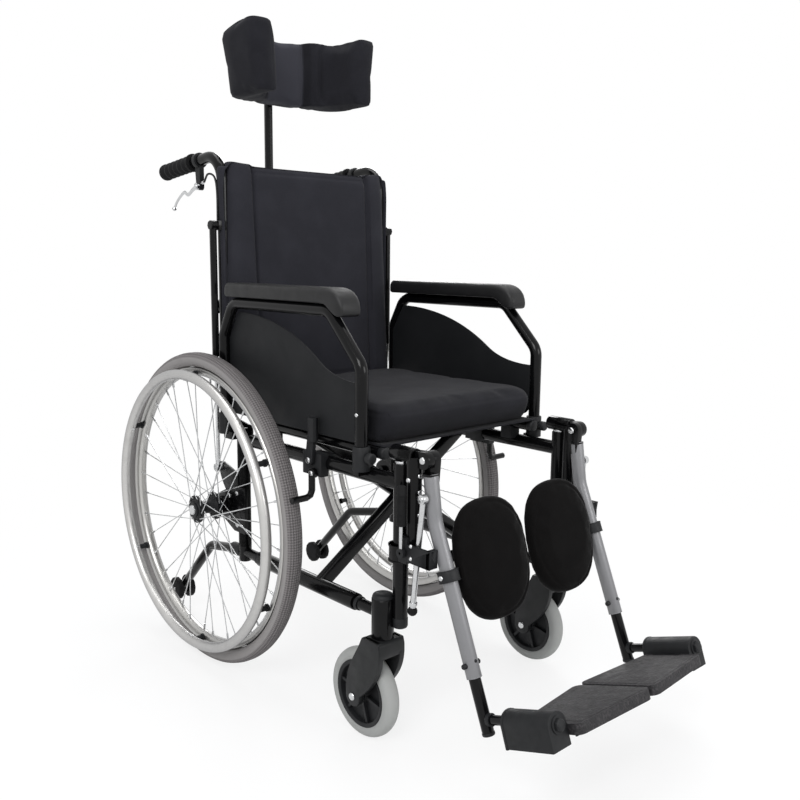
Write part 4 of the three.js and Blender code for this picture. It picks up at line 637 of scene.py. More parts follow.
def plate_finish(name):
    """Footplates: moulded plastic with a pebbled anti-slip top."""
    made = Finish(name, 0x201F21, 0.6, specular=0.3)
    made.rough(made.noise(70), 0.08)
    made.tint(made.ramp(made.noise(240, 4), 0.5, 0.62, 0, 0.55), 0x3D3A3C)
    made.tint(made.ramp(made.noise(20, 5), 0.45, 0.8, 0, 0.35), 0x2B292B)
    cells = made.node("ShaderNodeTexVoronoi")
    cells.inputs["Scale"].default_value = 260
    made.join(made.where, cells.inputs["Vector"])
    made.bump(made.ramp(cells.outputs["Distance"], 0.1, 0.6), 0.0006, 0.8)
    return made.bump(made.noise(1000, 3), 0.00015, 0.6).material


FRAME = frame_finish("frame_coat")
FRAME_CAD = frame_finish("frame_coat_rounded", 3.5)
PLASTIC = plastic_finish("black_plastic")
PLASTIC_CAD = plastic_finish("black_plastic_rounded", rounding=3)
FORK = plastic_finish("fork_plastic", 0x191A1B, 0.5)
RUBBER = rubber_finish("black_rubber")
RUBBER_CAD = rubber_finish("black_rubber_rounded", 3)
LEG = wear_and_edge_shade_finish("grey_leg_coat", 0x78787A, 0.38, (300, 3, 0.07),
    [(2600, 1, 0.45, 0.7, 0.5, 0x8B8B8D), (30, 5, 0.6, 0.8, 0.35, 0x696969)], (700, 2, 0.00005, 0.5),
    metallic=0.3, specular=0.45)
ALLOY = alloy_finish("silver_alloy")
HANDRIM = alloy_finish("handrim_alloy", 0xC4C3C1, 0.36)
STEEL = steel_finish("bright_steel")
STEEL_CAD = steel_finish("bright_steel_rounded", 2)
TYRE = tyre_finish("grey_tyre")
CASTER = wear_and_edge_shade_finish("caster_grey", 0x9A9B99, 0.62, (90, 3, 0.07), [(36, 5, 0.5, 0.8, 0.4, 0x868885)],
    (800, 3, 0.00012, 0.6), specular=0.35)
SEAT_CLOTH = fabric_finish("seat_cloth", 0x1D1D20, "x", "y")
BACK_CLOTH = fabric_finish("back_cloth", 0x27272C, "x", "z", lint=0x36363C)
HEAD_CLOTH = fabric_finish("headrest_cloth", 0x1D1D21, "x", "z", panel=HEAD_PANEL)
PAD_COVER = pad_finish("calf_pad_cover")
ARM_SKIN = skin_finish("arm_pad_skin")
GUARD = wear_and_edge_shade_finish("guard_plastic", 0x141517, 0.62, (25, 3, 0.06), [(10, 5, 0.45, 0.8, 0.45, 0x1E1F21)],
    (1000, 3, 0.00018, 0.7), specular=0.2)
PLATE = plate_finish("footplate_plastic")


# Wheels
def bolt(place, way, radius, height=3.0):
    """A domed screw head standing on a place and facing a way."""
    way = way.normalized()
    return stretch(place, way, -0.5, height, radius, 16, cap=height * 0.55)


def side_bolts(side, *rows):
    """Screw heads that face outwards. A row is (x on the left side, y, z, radius, height)."""
    return [bolt(at(side * x, y, z), Vector((side, 0, 0)), radius, height)
        for x, y, z, radius, height in rows]


def rear_tyre(side, word):
    centre = at(side * WHEEL_HALF, 0, WHEEL_RADIUS)
    profile = []
    for i in range(36):
        angle = 2 * math.pi * i / 36
        c, s = math.cos(angle), math.sin(angle)
        out = TYRE_WIDTH / 2 * math.copysign(abs(c) ** 0.85, c)
        radius = WHEEL_RADIUS - TYRE_DEPTH / 2 + TYRE_DEPTH / 2 * math.copysign(abs(s) ** 0.8, s)
        if s > 0.75 and i % 2:
            radius -= 0.7
        profile.append((radius, out))
    side_piece(word, "tyre", "wheel", "rear_tyre",
        [(TYRE, [turned(profile, centre, sides=180, closed=True)])], bevel=0, origin=centre)


def flange(centre, offset, side):
    """A hub flange with a ring of holes through it."""
    inner, outer, middle, hole, count, half = HUB_CORE + 2.5, HUB_RADIUS, SPOKE_RING, 1.9, 18, 1.6
    points, faces = [], []
    step = 2 * math.pi / count

    def put(radius, angle, x):
        points.append(centre + mm(side * (offset + x), radius * math.cos(angle), radius * math.sin(angle)))
        return len(points) - 1

    for i in range(count):
        mid = i * step
        corners = [(inner, -1), (inner, 0), (inner, 1), (middle, 1), (outer, 1), (outer, 0), (outer, -1),
            (middle, -1)]
        loops = []
        for x in (-half, half):
            edge = [put(r, mid + s * step / 2, x) for r, s in corners]
            rim = []
            for k in range(8):
                turn = math.pi * (1.25 - k / 4) + math.pi
                dr, da = hole * math.cos(turn), hole * math.sin(turn)
                rim.append(put(middle + dr, mid + da / middle, x))
            loops.append((edge, rim))
            for k in range(8):
                n = (k + 1) % 8
                faces.append((edge[k], edge[n], rim[n], rim[k]))
        (e0, r0), (e1, r1) = loops
        for k in range(8):
            n = (k + 1) % 8
            faces.append((r0[k], r0[n], r1[n], r1[k]))
        for k in (0, 1, 4, 5):
            faces.append((e0[k], e0[k + 1], e1[k + 1], e1[k]))
    return points, faces


def rear_wheel(side, word):
    centre = at(side * WHEEL_HALF, 0, WHEEL_RADIUS)
    outer = WHEEL_RADIUS - TYRE_DEPTH - 0.5
    inner = outer - RIM_DEPTH
    half = RIM_WIDTH / 2
    section = mirrored([(outer, half * 0.86), (outer - 1.5, half), (outer - 6, half),
            (inner + 3.5, half * 0.72), (inner + 0.6, half * 0.42)], [(inner, 0)])
    rim = turned(section, centre, sides=144, closed=True)
    wires, nipples = [], []
    for i in range(SPOKES):
        way = 1 if i % 2 else -1
        lean = 1 if (i // 2) % 2 else -1
        angle = 2 * math.pi * (i + 0.5) / SPOKES
        root = angle + side * lean * math.radians(SPOKE_LACING)
        start = centre + mm(way * HUB_FLANGE + lean * SPOKE_OFFSET, SPOKE_RING * math.cos(root),
            SPOKE_RING * math.sin(root))
        end = centre + mm(way * RIM_WIDTH / 8, (inner + 2) * math.cos(angle), (inner + 2) * math.sin(angle))
        wires.append(rod(start, end, SPOKE_RADIUS, 8))
        back = (start - end).normalized()
        nipples.append(rod(end, end + back * NIPPLE_LENGTH / 1000, NIPPLE_RADIUS, 8))
    barrel = turned(mirrored([(HUB_CORE - 2, HUB_HALF), (HUB_CORE, HUB_HALF - 1.5),
                (HUB_CORE, HUB_FLANGE + 3), (HUB_CORE + 2.8, HUB_FLANGE), (HUB_CORE - 1, HUB_FLANGE - 5)],
            [(HUB_CORE - 2, 0)]), centre, sides=40)
    ends = [[centre + mm(x, (HUB_CORE - 2) * math.cos(a), (HUB_CORE - 2) * math.sin(a))
            for a in full_turn(40)] for x in (-HUB_HALF, HUB_HALF)]
    barrel = (barrel[0] + ends[0] + ends[1],
        barrel[1] + [tuple(range(len(barrel[0]), len(barrel[0]) + 40)),
            tuple(range(len(barrel[0]) + 40, len(barrel[0]) + 80))])
    button = capped(centre + mm(side * (HUB_HALF - 2), 0, 0), centre + mm(side * (HUB_HALF + 4), 0, 0), 9.5,
        2.2, 32)
    flanges = [flange(centre, HUB_FLANGE, side), flange(centre, -HUB_FLANGE, side)]
    side_piece(word, "wheel_wires", "wheel", "rear_wheel",
        [(ALLOY, [rim]), (STEEL, wires + nipples + [button]), (PLASTIC, [barrel] + flanges)], bevel=0,
        origin=centre)


def handrim(side, word):
    centre = at(side * HANDRIM_HALF, 0, WHEEL_RADIUS)
    ring = turned([(HANDRIM_RADIUS + u, v) for u, v in circle(HANDRIM_TUBE, 24)], centre, sides=144,
        closed=True)
    arms, screws = [], []
    inner = WHEEL_HALF + RIM_WIDTH / 2 + 0.3 - HANDRIM_HALF
    for i in range(6):
        angle = 2 * math.pi * (i + 0.5) / 6
        turn = Matrix.Rotation(angle, 4, "X")
        foot = mm(side * inner, HANDRIM_RADIUS, 0)
        head = mm(0, HANDRIM_RADIUS, 0)
        arms.append(moved([tube([foot, head], 5.2, sides=16)], Matrix.Translation(centre) @ turn)[0])
        wide = mm(side * (inner + 4), HANDRIM_RADIUS, 0)
        arms.append(moved([rod(foot, wide, 7, 16)], Matrix.Translation(centre) @ turn)[0])
        back = mm(0, HANDRIM_RADIUS - HANDRIM_TUBE + 0.5, 0)
        screws.append(moved([bolt(back, Vector((0, -1, 0)), 3, 2)], Matrix.Translation(centre) @ turn)[0])
    side_piece(word, "push_ring", "wheel", "handrim", [(HANDRIM, [ring]), (PLASTIC, arms), (STEEL, screws)],
        bevel=0, origin=centre)


def caster(side, word):
    centre = at(side * CASTER_HALF, CASTER_STEM_Y + CASTER_TRAIL, CASTER_RADIUS)
    half = CASTER_WIDTH / 2
    profile = [(CASTER_HUB, -half + 1.5), (CASTER_HUB + 2, -half)]
    profile += [(CASTER_RADIUS - 11 + 11 * math.sin(a), -half * math.cos(a))
        for a in [math.pi * i / 22 for i in range(23)]]
    profile += [(CASTER_HUB + 2, half), (CASTER_HUB, half - 1.5)]
    tyre = turned(profile, centre, sides=96, closed=True)
    rim = half - 1
    hub = turned(mirrored([(CASTER_HUB, rim), (CASTER_HUB - 3, rim + 0.6), (CASTER_HUB - 7, rim - 1),
                (CASTER_HUB - 8, 4), (17, 4), (15, rim), (7, rim)]), centre, sides=72, closed=True)
    webs = []
    for i in range(6):
        spin = Matrix.Translation(centre) @ Matrix.Rotation(math.pi * i / 3 + 0.2, 4, "X")
        web = skin([[mm(x, y, z) for x, z in ((-rim + 3, -2.6), (rim - 3, -2.6), (rim - 3, 2.6),
                        (-rim + 3, 2.6))] for y in (12, CASTER_HUB - 5)])
        webs += moved([web], spin)
    side_piece(word, "caster_roller", "caster", "caster_wheel", [(CASTER, [tyre]), (PLASTIC, [hub] + webs)],
        bevel=0.5, origin=centre)


def caster_fork(side, word):
    x, y0 = side * CASTER_HALF, CASTER_STEM_Y
    inner = CASTER_WIDTH / 2 + FORK_GAP
    outer = inner + FORK_THICKNESS
    reach = HOUSING_RADIUS + FORK_GAP
    axle = (y0 + CASTER_TRAIL, CASTER_RADIUS)
    top = HOUSING_Z - 0.3
    boss = FORK_BOSS
    outline = [(y0 + reach - 2, top), (y0 - reach + 2, top)]
    outline += bezier((y0 - reach, top - 3), (y0 - reach - 5, 150), (y0 - reach + 2, 118),
        (axle[0] - boss, axle[1] + 4), steps=14)
    outline += arc(axle, boss, math.pi, 2 * math.pi, 16)[1:]
    outline += bezier((axle[0] + boss, axle[1]), (axle[0] + boss + 2, 128), (y0 + reach + 14, 150),
        (y0 + reach, top - 4), steps=14)
    arms = [across(outline, x + a, x + b) for a, b in ((inner, outer), (-outer, -inner))]
    crown_outline = [(y0 - reach - 1, top - 4), (y0 - reach + 3, top), (y0 + reach - 3, top),
        (y0 + reach + 1, top - 4), (y0 + reach + 4, FORK_CROWN_Z + 8), (y0 + reach - 2, FORK_CROWN_Z),
        (y0 - reach, FORK_CROWN_Z), (y0 - reach - 2, FORK_CROWN_Z + 10)]
    crown = across(crown_outline, x - outer + 1.5, x + outer - 1.5)
    collar = upright(x, y0, top - 12, top, HOUSING_RADIUS + 1, 36)
    stem = upright(x, y0, top - 4, top + 40, 8)
    axle_rod = pin(x - outer - 1, x + outer + 1, axle[0], axle[1], 5)
    heads = [bolt(at(x + s * outer, *axle), Vector((s, 0, 0)), 6.5, 3.2) for s in (-1, 1)]
    side_piece(word, "fork_body", "fork", "caster_fork",
        [(FORK, arms + [crown, collar]), (STEEL, [stem, axle_rod] + heads)], bevel=2.2)


# Frame
def side_frame(side, word):
    x = side * FRAME_HALF
    s = side
    rails = [lengthwise(x, REAR_POST_Y, FRONT_POST_Y, UPPER_Z, FRAME_TUBE),
        lengthwise(x, REAR_POST_Y, FRONT_POST_Y, LOWER_Z, LOWER_TUBE),
        upright(x, REAR_POST_Y, REAR_POST_FOOT + 30, REAR_POST_TOP, FRAME_TUBE, cap=2),
        upright(x, REAR_POST_Y, REAR_POST_TOP - 30, REAR_POST_FOOT, FRAME_TUBE, cap=2),
        upright(x, FRONT_POST_Y, FRONT_POST_FOOT + 16, FRONT_POST_TOP, FRAME_TUBE)]
    post_cap = upright(x, FRONT_POST_Y, FRONT_POST_FOOT + 18, FRONT_POST_FOOT, FRAME_TUBE + 0.4, cap=4)
    housing = upright(s * CASTER_HALF, CASTER_STEM_Y, HOUSING_Z, HOUSING_Z + HOUSING_HEIGHT - 7,
        HOUSING_RADIUS, 40, cap=1.5)
    lid = upright(s * CASTER_HALF, CASTER_STEM_Y, HOUSING_Z + HOUSING_HEIGHT - 8,
        HOUSING_Z + HOUSING_HEIGHT, HOUSING_RADIUS - 1, 40, cap=5)
    half = AXLE_PLATE_HEIGHT / 2
    outline = [(REAR_POST_Y - AXLE_PLATE_WIDTH, WHEEL_RADIUS - half),
        (REAR_POST_Y + AXLE_PLATE_WIDTH / 2, WHEEL_RADIUS - half)]
    outline += arc((0, WHEEL_RADIUS), AXLE_PLATE_RADIUS, -math.pi / 3, math.pi / 3, 14)
    outline += [(REAR_POST_Y + AXLE_PLATE_WIDTH / 2, WHEEL_RADIUS + half),
        (REAR_POST_Y - AXLE_PLATE_WIDTH, WHEEL_RADIUS + half)]
    out = FRAME_HALF + FRAME_TUBE + AXLE_PLATE / 2
    plate = across(outline, s * (out - AXLE_PLATE), s * out)
    rear = SPRING_FOOT_Y + SPRING_EYE
    outline = [(REAR_POST_Y, WHEEL_RADIUS)]
    outline += bezier((REAR_POST_Y, WHEEL_RADIUS), (0, WHEEL_RADIUS + AXLE_PLATE_RADIUS),
        (rear, SPRING_FOOT_Z - SPRING_EYE))
    outline += [(rear, SPRING_FOOT_Z + SPRING_EYE),
        (SPRING_FOOT_Y - SPRING_EYE, SPRING_FOOT_Z + SPRING_EYE), (REAR_POST_Y, SPRING_FOOT_Z - SPRING_EYE)]
    hold = SPRING_HALF - SPRING_RADIUS - AXLE_PLATE
    spring_plate = across(outline, s * hold, s * (hold + AXLE_PLATE - 0.3))
    cheek = link((REAR_POST_Y, CANE_PIVOT_Z - CANE_EYE), KNEE_RADIUS, (CANE_Y, CANE_PIVOT_Z), CANE_EYE)
    cheeks = [across(cheek, s * (CANE_HALF + a), s * (CANE_HALF + b))
        for a, b in ((-CHEEK_GAP - CHEEK_THICKNESS, -CHEEK_GAP), (CHEEK_GAP, CHEEK_GAP + CHEEK_THICKNESS))]
    sockets, shelf = [], []
    for y, inward in ((ARM_FRONT_Y, ARM_FRONT_Y + SOCKET_RADIUS), (ARM_REAR_Y, REAR_POST_Y)):
        sockets.append(upright(s * ARM_HALF, y, ARM_FOOT_Z - 6, SOCKET_TOP_Z, SOCKET_RADIUS, 32, cap=1.5))
        shelf.append(block(s * (FRAME_HALF + 6), s * (ARM_HALF + 6), y, inward, UPPER_Z, ARM_FOOT_Z))
    knob_z = (ARM_FOOT_Z + SOCKET_TOP_Z) / 2
    knob = [lengthwise(s * ARM_HALF, ARM_FRONT_Y, ARM_FRONT_Y - 18, knob_z, 6),
        lengthwise(s * ARM_HALF, ARM_FRONT_Y - 17, ARM_FRONT_Y - 29, knob_z, 9, cap=3)]
    saddles = []
    for y in (SLEEVE_FRONT_Y, SLEEVE_REAR_Y - SADDLE_LENGTH):
        saddles.append(block(s * (RAIL_HALF - SADDLE_HALF), s * (RAIL_HALF + SADDLE_HALF),
                y - SADDLE_LENGTH / 2, y + SADDLE_LENGTH / 2, UPPER_Z + 6,
                UPPER_Z + FRAME_TUBE + SADDLE_RISE))
    bracket = block(s * (FRAME_HALF + 6), s * (BRAKE_HALF - 4), BRAKE_Y - 26, BRAKE_Y + 26, UPPER_Z - 22,
        UPPER_Z + 18)
    strap = block(s * (FRAME_HALF - 13.5), s * (FRAME_HALF + 8), BRAKE_Y - 22, BRAKE_Y + 22, UPPER_Z - 14,
        UPPER_Z + 14)
    reach = BRAKE_HALF + BRAKE_PLATE / 2
    brake_pins = [pin(s * (FRAME_HALF + 6), s * reach, BRAKE_Y, BRAKE_LEVER_Z, 4),
        pin(s * (FRAME_HALF + 6), s * reach, BRAKE_SHOE_Y, BRAKE_SHOE_Z, 4)]
    tip_path = [at(s * FRAME_HALF, REAR_POST_Y, LOWER_Z),
        at(s * FRAME_HALF, REAR_POST_Y + 2 * FRAME_TUBE, LOWER_Z), at(s * TIP_HALF, TIP_BEND_Y, TIP_BEND_Z),
        at(s * TIP_HALF, TIP_END_Y, TIP_END_Z)]
    tipper = tube(tip_path, TIP_TUBE, 40, 24)
    sleeve = rod(at(s * FRAME_HALF, REAR_POST_Y + 6, LOWER_Z),
        at(s * (FRAME_HALF - 1.2), REAR_POST_Y + 44, LOWER_Z - 3), TIP_TUBE + 3)
    eye = pin(s * (TIP_HALF - TIP_EYE), s * (TIP_HALF + TIP_EYE), TIP_END_Y, TIP_END_Z, TIP_TUBE + 4, 28)
    axle = [pin(s * FRAME_HALF, s * (WHEEL_HALF - HUB_HALF - 0.3), 0, WHEEL_RADIUS, AXLE_SLEEVE, 32),
        pin(s * (out + 1), s * (out + 8), 0, WHEEL_RADIUS, AXLE_SLEEVE + 4, 6)]
    spindle = [pin(s * FRAME_HALF, s * (WHEEL_HALF + HUB_HALF - 8), 0, WHEEL_RADIUS, 8),
        pin(s * FRAME_HALF, s * (SPRING_HALF + SPRING_RADIUS), SPRING_FOOT_Y, SPRING_FOOT_Z, 3.5)]
    screws = side_bolts(s, *[(out, y, z, 4.5, 3.0)
            for y, z in ((REAR_POST_Y, WHEEL_RADIUS + 32), (REAR_POST_Y, WHEEL_RADIUS - 32),
                (-24, WHEEL_RADIUS + 22), (-24, WHEEL_RADIUS - 22))],
        (reach, BRAKE_SHOE_Y, BRAKE_SHOE_Z, 5.5, 2.5), (reach, BRAKE_Y, BRAKE_LEVER_Z, 5.5, 2.5),
        (CANE_HALF + CHEEK_GAP + CHEEK_THICKNESS, CANE_Y, CANE_PIVOT_Z, 6.5, 3.0),
        (TIP_HALF + TIP_EYE + 1 + TIP_WHEEL_WIDTH, TIP_END_Y, TIP_END_Z, 3.2, 1.5))
    collars = [lengthwise(x, y, y + 7, LOWER_Z, LOWER_TUBE + 2.2)
        for y in (SLEEVE_REAR_Y + 3, SLEEVE_FRONT_Y - 11)]
    side_piece(word, "frame_body", "side", "side_frame",
        [(FRAME, rails + [housing, plate, spring_plate, tipper, eye] + cheeks + shelf + axle),
            (PLASTIC, [post_cap, lid, bracket, strap, sleeve] + sockets + saddles + knob + collars),
            (STEEL, brake_pins + spindle + screws)], bevel=1.0)


def brace_bar(name, body, side, y):
    angle = math.atan2(RAIL_Z - LOWER_Z, FRAME_HALF + RAIL_HALF)
    length = math.hypot(FRAME_HALF + RAIL_HALF, RAIL_Z - LOWER_Z)
    half, deep = BRACE_WIDTH / 2, BRACE_THICKNESS / 2
    round_off = 6
    section = corner_arcs([((u - math.copysign(round_off, u), v - math.copysign(round_off, v)), round_off,
                start) for u, v, start in ((half, deep, 0), (-half, deep, 90), (-half, -deep, 180),
                (half, -deep, 270))], 5)
    lower, upper = at(-side * FRAME_HALF, y + deep, LOWER_Z), at(side * RAIL_HALF, y + deep, RAIL_Z)
    way = (upper - lower).normalized()
    across_way = Vector((0, 1, 0)).cross(way)
    rings = [[p + (across_way * u + Vector((0, 1, 0)) * v) / 1000 for u, v in section]
        for p in (lower, lower + way * (length - RAIL_RADIUS / 2) / 1000)]
    bar = skin(rings)
    x = -side * FRAME_HALF
    sleeve = lengthwise(x, SLEEVE_FRONT_Y, SLEEVE_REAR_Y, LOWER_Z, SLEEVE_RADIUS, 32)
    rail = lengthwise(side * RAIL_HALF, RAIL_FRONT_Y + 8, RAIL_REAR_Y - 8, RAIL_Z, RAIL_RADIUS)
    plugs = [lengthwise(side * RAIL_HALF, RAIL_FRONT_Y + 12, RAIL_FRONT_Y, RAIL_Z, RAIL_RADIUS + 0.3,
            cap=3), lengthwise(side * RAIL_HALF, RAIL_REAR_Y - 12, RAIL_REAR_Y, RAIL_Z, RAIL_RADIUS + 0.3,
            cap=3)]
    groups = [(FRAME, [bar, sleeve, rail]), (PLASTIC, plugs)]
    middle_z = LOWER_Z + FRAME_HALF * math.tan(angle)
    if side > 0:
        steel = [lengthwise(0, y, y + 2 * BRACE_THICKNESS + 6.3, middle_z, 6),
            lengthwise(0, y - 6, y, middle_z, 10, 6)]
        groups.append((STEEL, steel))
    piece(name + "_body", body, [name], groups, bevel=0.8)


# Back, handles and recline
def handle_way():
    return Vector((0, HANDLE_END_Y - CANE_Y, HANDLE_END_Z - CANE_TOP_Z)).normalized()


def back_cane(side, word):
    x = side * CANE_HALF
    way = handle_way()
    path = [at(x, CANE_Y, CANE_PIVOT_Z + 18), at(x, CANE_Y, CANE_TOP_Z), at(x, HANDLE_END_Y, HANDLE_END_Z)]
    pole = tube(path, CANE_RADIUS, CANE_BEND, 28, 14)
    eye = across(link((CANE_Y, CANE_PIVOT_Z), CANE_EYE, (CANE_Y, CANE_PIVOT_Z + 36), CANE_RADIUS - 0.3),
        x - 6, x + 6)
    ring_centre = at(x, CANE_Y, CANE_TOP_Z) + way * (LEVER_BRACKET_Y - CANE_Y) / 1000
    ring = stretch(ring_centre, way, -5, 5, CANE_RADIUS + 4, 28)
    drop_z = ring_centre.z * 1000
    arm = across(link((LEVER_BRACKET_Y, drop_z - CANE_RADIUS), SPRING_EYE, (LEVER_PIVOT_Y, LEVER_PIVOT_Z),
            7), x - 5, x + 5)
    pivot = pin(x, x + side * (LEVER_BRACKET / 2 + 5.3), LEVER_PIVOT_Y, LEVER_PIVOT_Z, 3.5)
    head = bolt(at(x + side * (LEVER_BRACKET / 2 + 5.3), LEVER_PIVOT_Y, LEVER_PIVOT_Z),
        Vector((side, 0, 0)), 4.5, 2)
    lug = block(x, side * (SPRING_HALF - SPRING_RADIUS - 0.3), SPRING_TOP_Y - 9, SPRING_TOP_Y + 9,
        SPRING_TOP_Z - 9, SPRING_TOP_Z + 9)
    barrel = rod(at(x, LEVER_PIVOT_Y - 4, LEVER_PIVOT_Z + 4),
        at(x + side * 2, LEVER_PIVOT_Y - 18, LEVER_PIVOT_Z + 9), 3.2, 16)
    controls = [(x, LEVER_PIVOT_Y, LEVER_PIVOT_Z + 3), (x, LEVER_PIVOT_Y - 14, LEVER_PIVOT_Z + 7),
        (x + side * 7, (LEVER_PIVOT_Y + CANE_Y) / 2, LEVER_PIVOT_Z + 21),
        (x + side * 11, CANE_Y + 11, LEVER_PIVOT_Z + 14), (x + side * 12.5, CANE_Y, LEVER_PIVOT_Z - 14),
        (x + side * 12.5, CANE_Y, SPRING_TOP_Z + 9), (x + side * 12.5, CANE_Y, SPRING_TOP_Z)]
    cable = sweep(smooth_line([at(*p) for p in controls]), circle(2, 12))
    side_piece(word, "cane_body", "back", "back_cane",
        [(FRAME, [pole, eye, lug]), (PLASTIC, [ring, arm, cable]), (STEEL, [pivot, head, barrel])],
        bevel=0.8)


def smooth_line(places):
    """Places and directions on a smooth curve through the places."""
    ends = [places[0] * 2 - places[1], *places, places[-1] * 2 - places[-2]]
    points = []
    for a, b, c, d in zip(ends, ends[1:], ends[2:], ends[3:]):
        for i in range(8):
            t = i / 8
            points.append(((b * 2) + (c - a) * t + (a * 2 - b * 5 + c * 4 - d) * t * t
                    + (b * 3 - a - c * 3 + d) * t ** 3) / 2)
    points.append(places[-1])
    return [(p, (q - o).normalized()) for o, p, q in zip(points[:1] + points, points,
            points[1:] + points[-1:])]


def hand_lever(side, word):
    """The recline lever: a slim cast blade with a step near its pivot and a ball at its tip."""
    x = side * (CANE_HALF + LEVER_BRACKET / 2 + 2.8)
    places = [at(x, y, z) for y, z in LEVER_BLADE]
    eye = pin(x - 2.4, x + 2.4, LEVER_PIVOT_Y, LEVER_PIVOT_Z, 7, 24)
    rings = []
    run = smooth_line(places)
    for i, (place, way) in enumerate(run):
        deep = 4.2 - 1.6 * i / (len(run) - 1)
        up = way.cross(Vector((1, 0, 0))).normalized()
        rings.append([place + (Vector((1, 0, 0)) * u * 2.3 + up * v * deep) / 1000
                for u, v in circle(1, 16)])
    ball = ball_at(places[-1], 4.6, 12, 24)
    side_piece(word, "lever_blade", "lever", "hand_lever", [(STEEL, [eye, skin(rings), ball])], bevel=0)


def hand_grip(side, word):
    way = handle_way()
    end = at(side * CANE_HALF, HANDLE_END_Y, HANDLE_END_Z) + way * 4.8 / 1000
    start = end - way * GRIP_LENGTH / 1000
    rings = []
    side_way = Vector((1, 0, 0))
    up = way.cross(side_way)
    steps = 96
    for i in range(steps + 1):
        share = i / steps
        run = share * GRIP_LENGTH
        radius = GRIP_RADIUS - 0.6
        if run < 5:
            radius = GRIP_RADIUS + 2.2
        elif run > GRIP_LENGTH - 8:
            radius = GRIP_RADIUS + 1.6 * math.sqrt(max(0, 1 - ((run - GRIP_LENGTH + 8) / 8) ** 2)) - 0.4
        else:
            radius += 1.3 * math.cos(2 * math.pi * (run - 5) / 17)
        rings.append([start + way * run / 1000 + (side_way * u + up * v) / 1000
                for u, v in circle(radius, 32)])
    rings[-1] = [end + (p - end) * 0.7 for p in rings[-1]]
    side_piece(word, "grip_body", "back", "hand_grip", [(RUBBER, [skin(rings)])], bevel=0.5)


# Armrests
def arm_path(side):
    x = side * ARM_HALF
    rail = ARM_RAIL_Z - 5.5
    return [at(x, ARM_FRONT_Y, ARM_FOOT_Z + 0.3), at(x, ARM_FRONT_Y, ARM_KNEE_Z),
        at(x, ARM_PAD_FRONT_Y, rail), at(x, ARM_REAR_Y - ARM_BEND, rail),
        at(x, ARM_REAR_Y, ARM_RAIL_Z - 2 * ARM_BEND), at(x, ARM_REAR_Y, ARM_FOOT_Z + 0.3)]


def armrest(side, word):
    bar = tube(arm_path(side), ARM_TUBE, ARM_BEND, 28, 10)
    facing = Vector((side, 0, 0))
    screws = [bolt(at(side * (ARM_HALF + ARM_TUBE - 0.6), y, z), facing, 3.4, 2)
        for y, z in ((ARM_REAR_Y, 560), (ARM_FRONT_Y, 545))]
    side_piece(word, "arm_body", "arm", "armrest_tube", [(FRAME, [bar]), (STEEL, screws)], bevel=0.5)
    rear = ARM_REAR_Y - 5.5
    front = ARM_FRONT_Y + 5.5
    span = rear - front
    outline = drawn((rear, GUARD_FOOT_Z), (rear, ARM_RAIL_Z - 2 * ARM_BEND - 11),
        (rear - ARM_BEND, GUARD_REAR_Z), [20, (rear - span / 3, GUARD_REAR_Z),
            (rear - span * 0.55, GUARD_REAR_Z - 26), (rear - span * 0.72, GUARD_FRONT_Z + 26)],
        [14, (rear - span * 0.82, GUARD_FRONT_Z), (front, GUARD_FRONT_Z)], (front, GUARD_FOOT_Z + 26),
        [8, (front, GUARD_FOOT_Z), (front + 26, GUARD_FOOT_Z)])
    panel = across(outline, side * (GUARD_HALF - GUARD_THICKNESS / 2),
        side * (GUARD_HALF + GUARD_THICKNESS / 2))
    side_piece(word, "guard_panel", "arm", "side_guard", [(GUARD, [panel])], bevel=1.0)
    arm_pad(side, word)


def arm_pad(side, word):
    """Moulded pad: flat top with soft edges, and a nose that droops at the front."""
    seat = ARM_RAIL_Z + 5.5 + 0.3
    top = seat + PAD_HEIGHT
    stations = [(PAD_REAR_Y - 11 * (1 - math.cos(math.pi / 2 * i / 6)),
            1 - 0.3 * (1 - math.sin(math.pi / 2 * i / 6)), top - 9 * (1 - math.sin(math.pi / 2 * i / 6)),
            seat + 4 * (1 - math.sin(math.pi / 2 * i / 6))) for i in range(7)]
    for y in PAD_STATIONS:
        stations.append((y, 1.0, top, seat))
    nose = [(-345, top - 0.2, seat - 1), (-352, top - 0.8, seat - 4), (-359, top - 1.8, seat - 9),
        (-366, top - 3.6, seat - 14), (-373, top - 6.5, seat - 18), (-379, top - 10.5, seat - 20),
        (-384.5, top - 16, seat - 20), (-388.5, top - 23, seat - 18.5), (-391, top - 31, seat - 15)]
    width = [1, 1, 0.995, 0.985, 0.97, 0.945, 0.9, 0.83, 0.72]
    stations += [(y, w, t, b) for (y, t, b), w in zip(nose, width)]
    rings = []
    for y, wide, high, low in stations:
        half = PAD_WIDTH / 2 * wide
        round_top = min(PAD_ROUND, (high - low) / 2 - 0.5)
        round_low = min(4.0, (high - low) / 2 - 0.5)
        ring = []
        for u, v, start, r in ((half, high, 0, round_top), (-half, high, 90, round_top),
            (-half, low, 180, round_low), (half, low, 270, round_low)):
            centre = (u - math.copysign(r, u), v - r if v == high else v + r)
            ring += corner_arcs([(centre, r, start)], 5)
        ring = [(px, pz + PAD_CROWN * (1 - (px / half) ** 2) * (pz > (high + low) / 2)) for px, pz in ring]
        rings.append([at(side * PAD_HALF + px, y, pz) for px, pz in ring])
    made = side_piece(word, "arm_cushion", "arm", "arm_pad", [(ARM_SKIN, [skin(rings)])], bevel=0)
    flat_crown(made, top / 1000)


def flat_crown(made, top):
    """Keeps the pad's top face within its CAD height."""
    for vert in made.data.vertices:
        vert.co.z = min(vert.co.z, top)


# Legrests
LEG_LEAN = math.atan2(LEG_BEND_Y - LEG_END_Y, LEG_BEND_Z - LEG_END_Z)


def on_leg(side, z):
    return at(side * LEG_HALF, LEG_BEND_Y + (z - LEG_BEND_Z) * math.tan(LEG_LEAN), z)


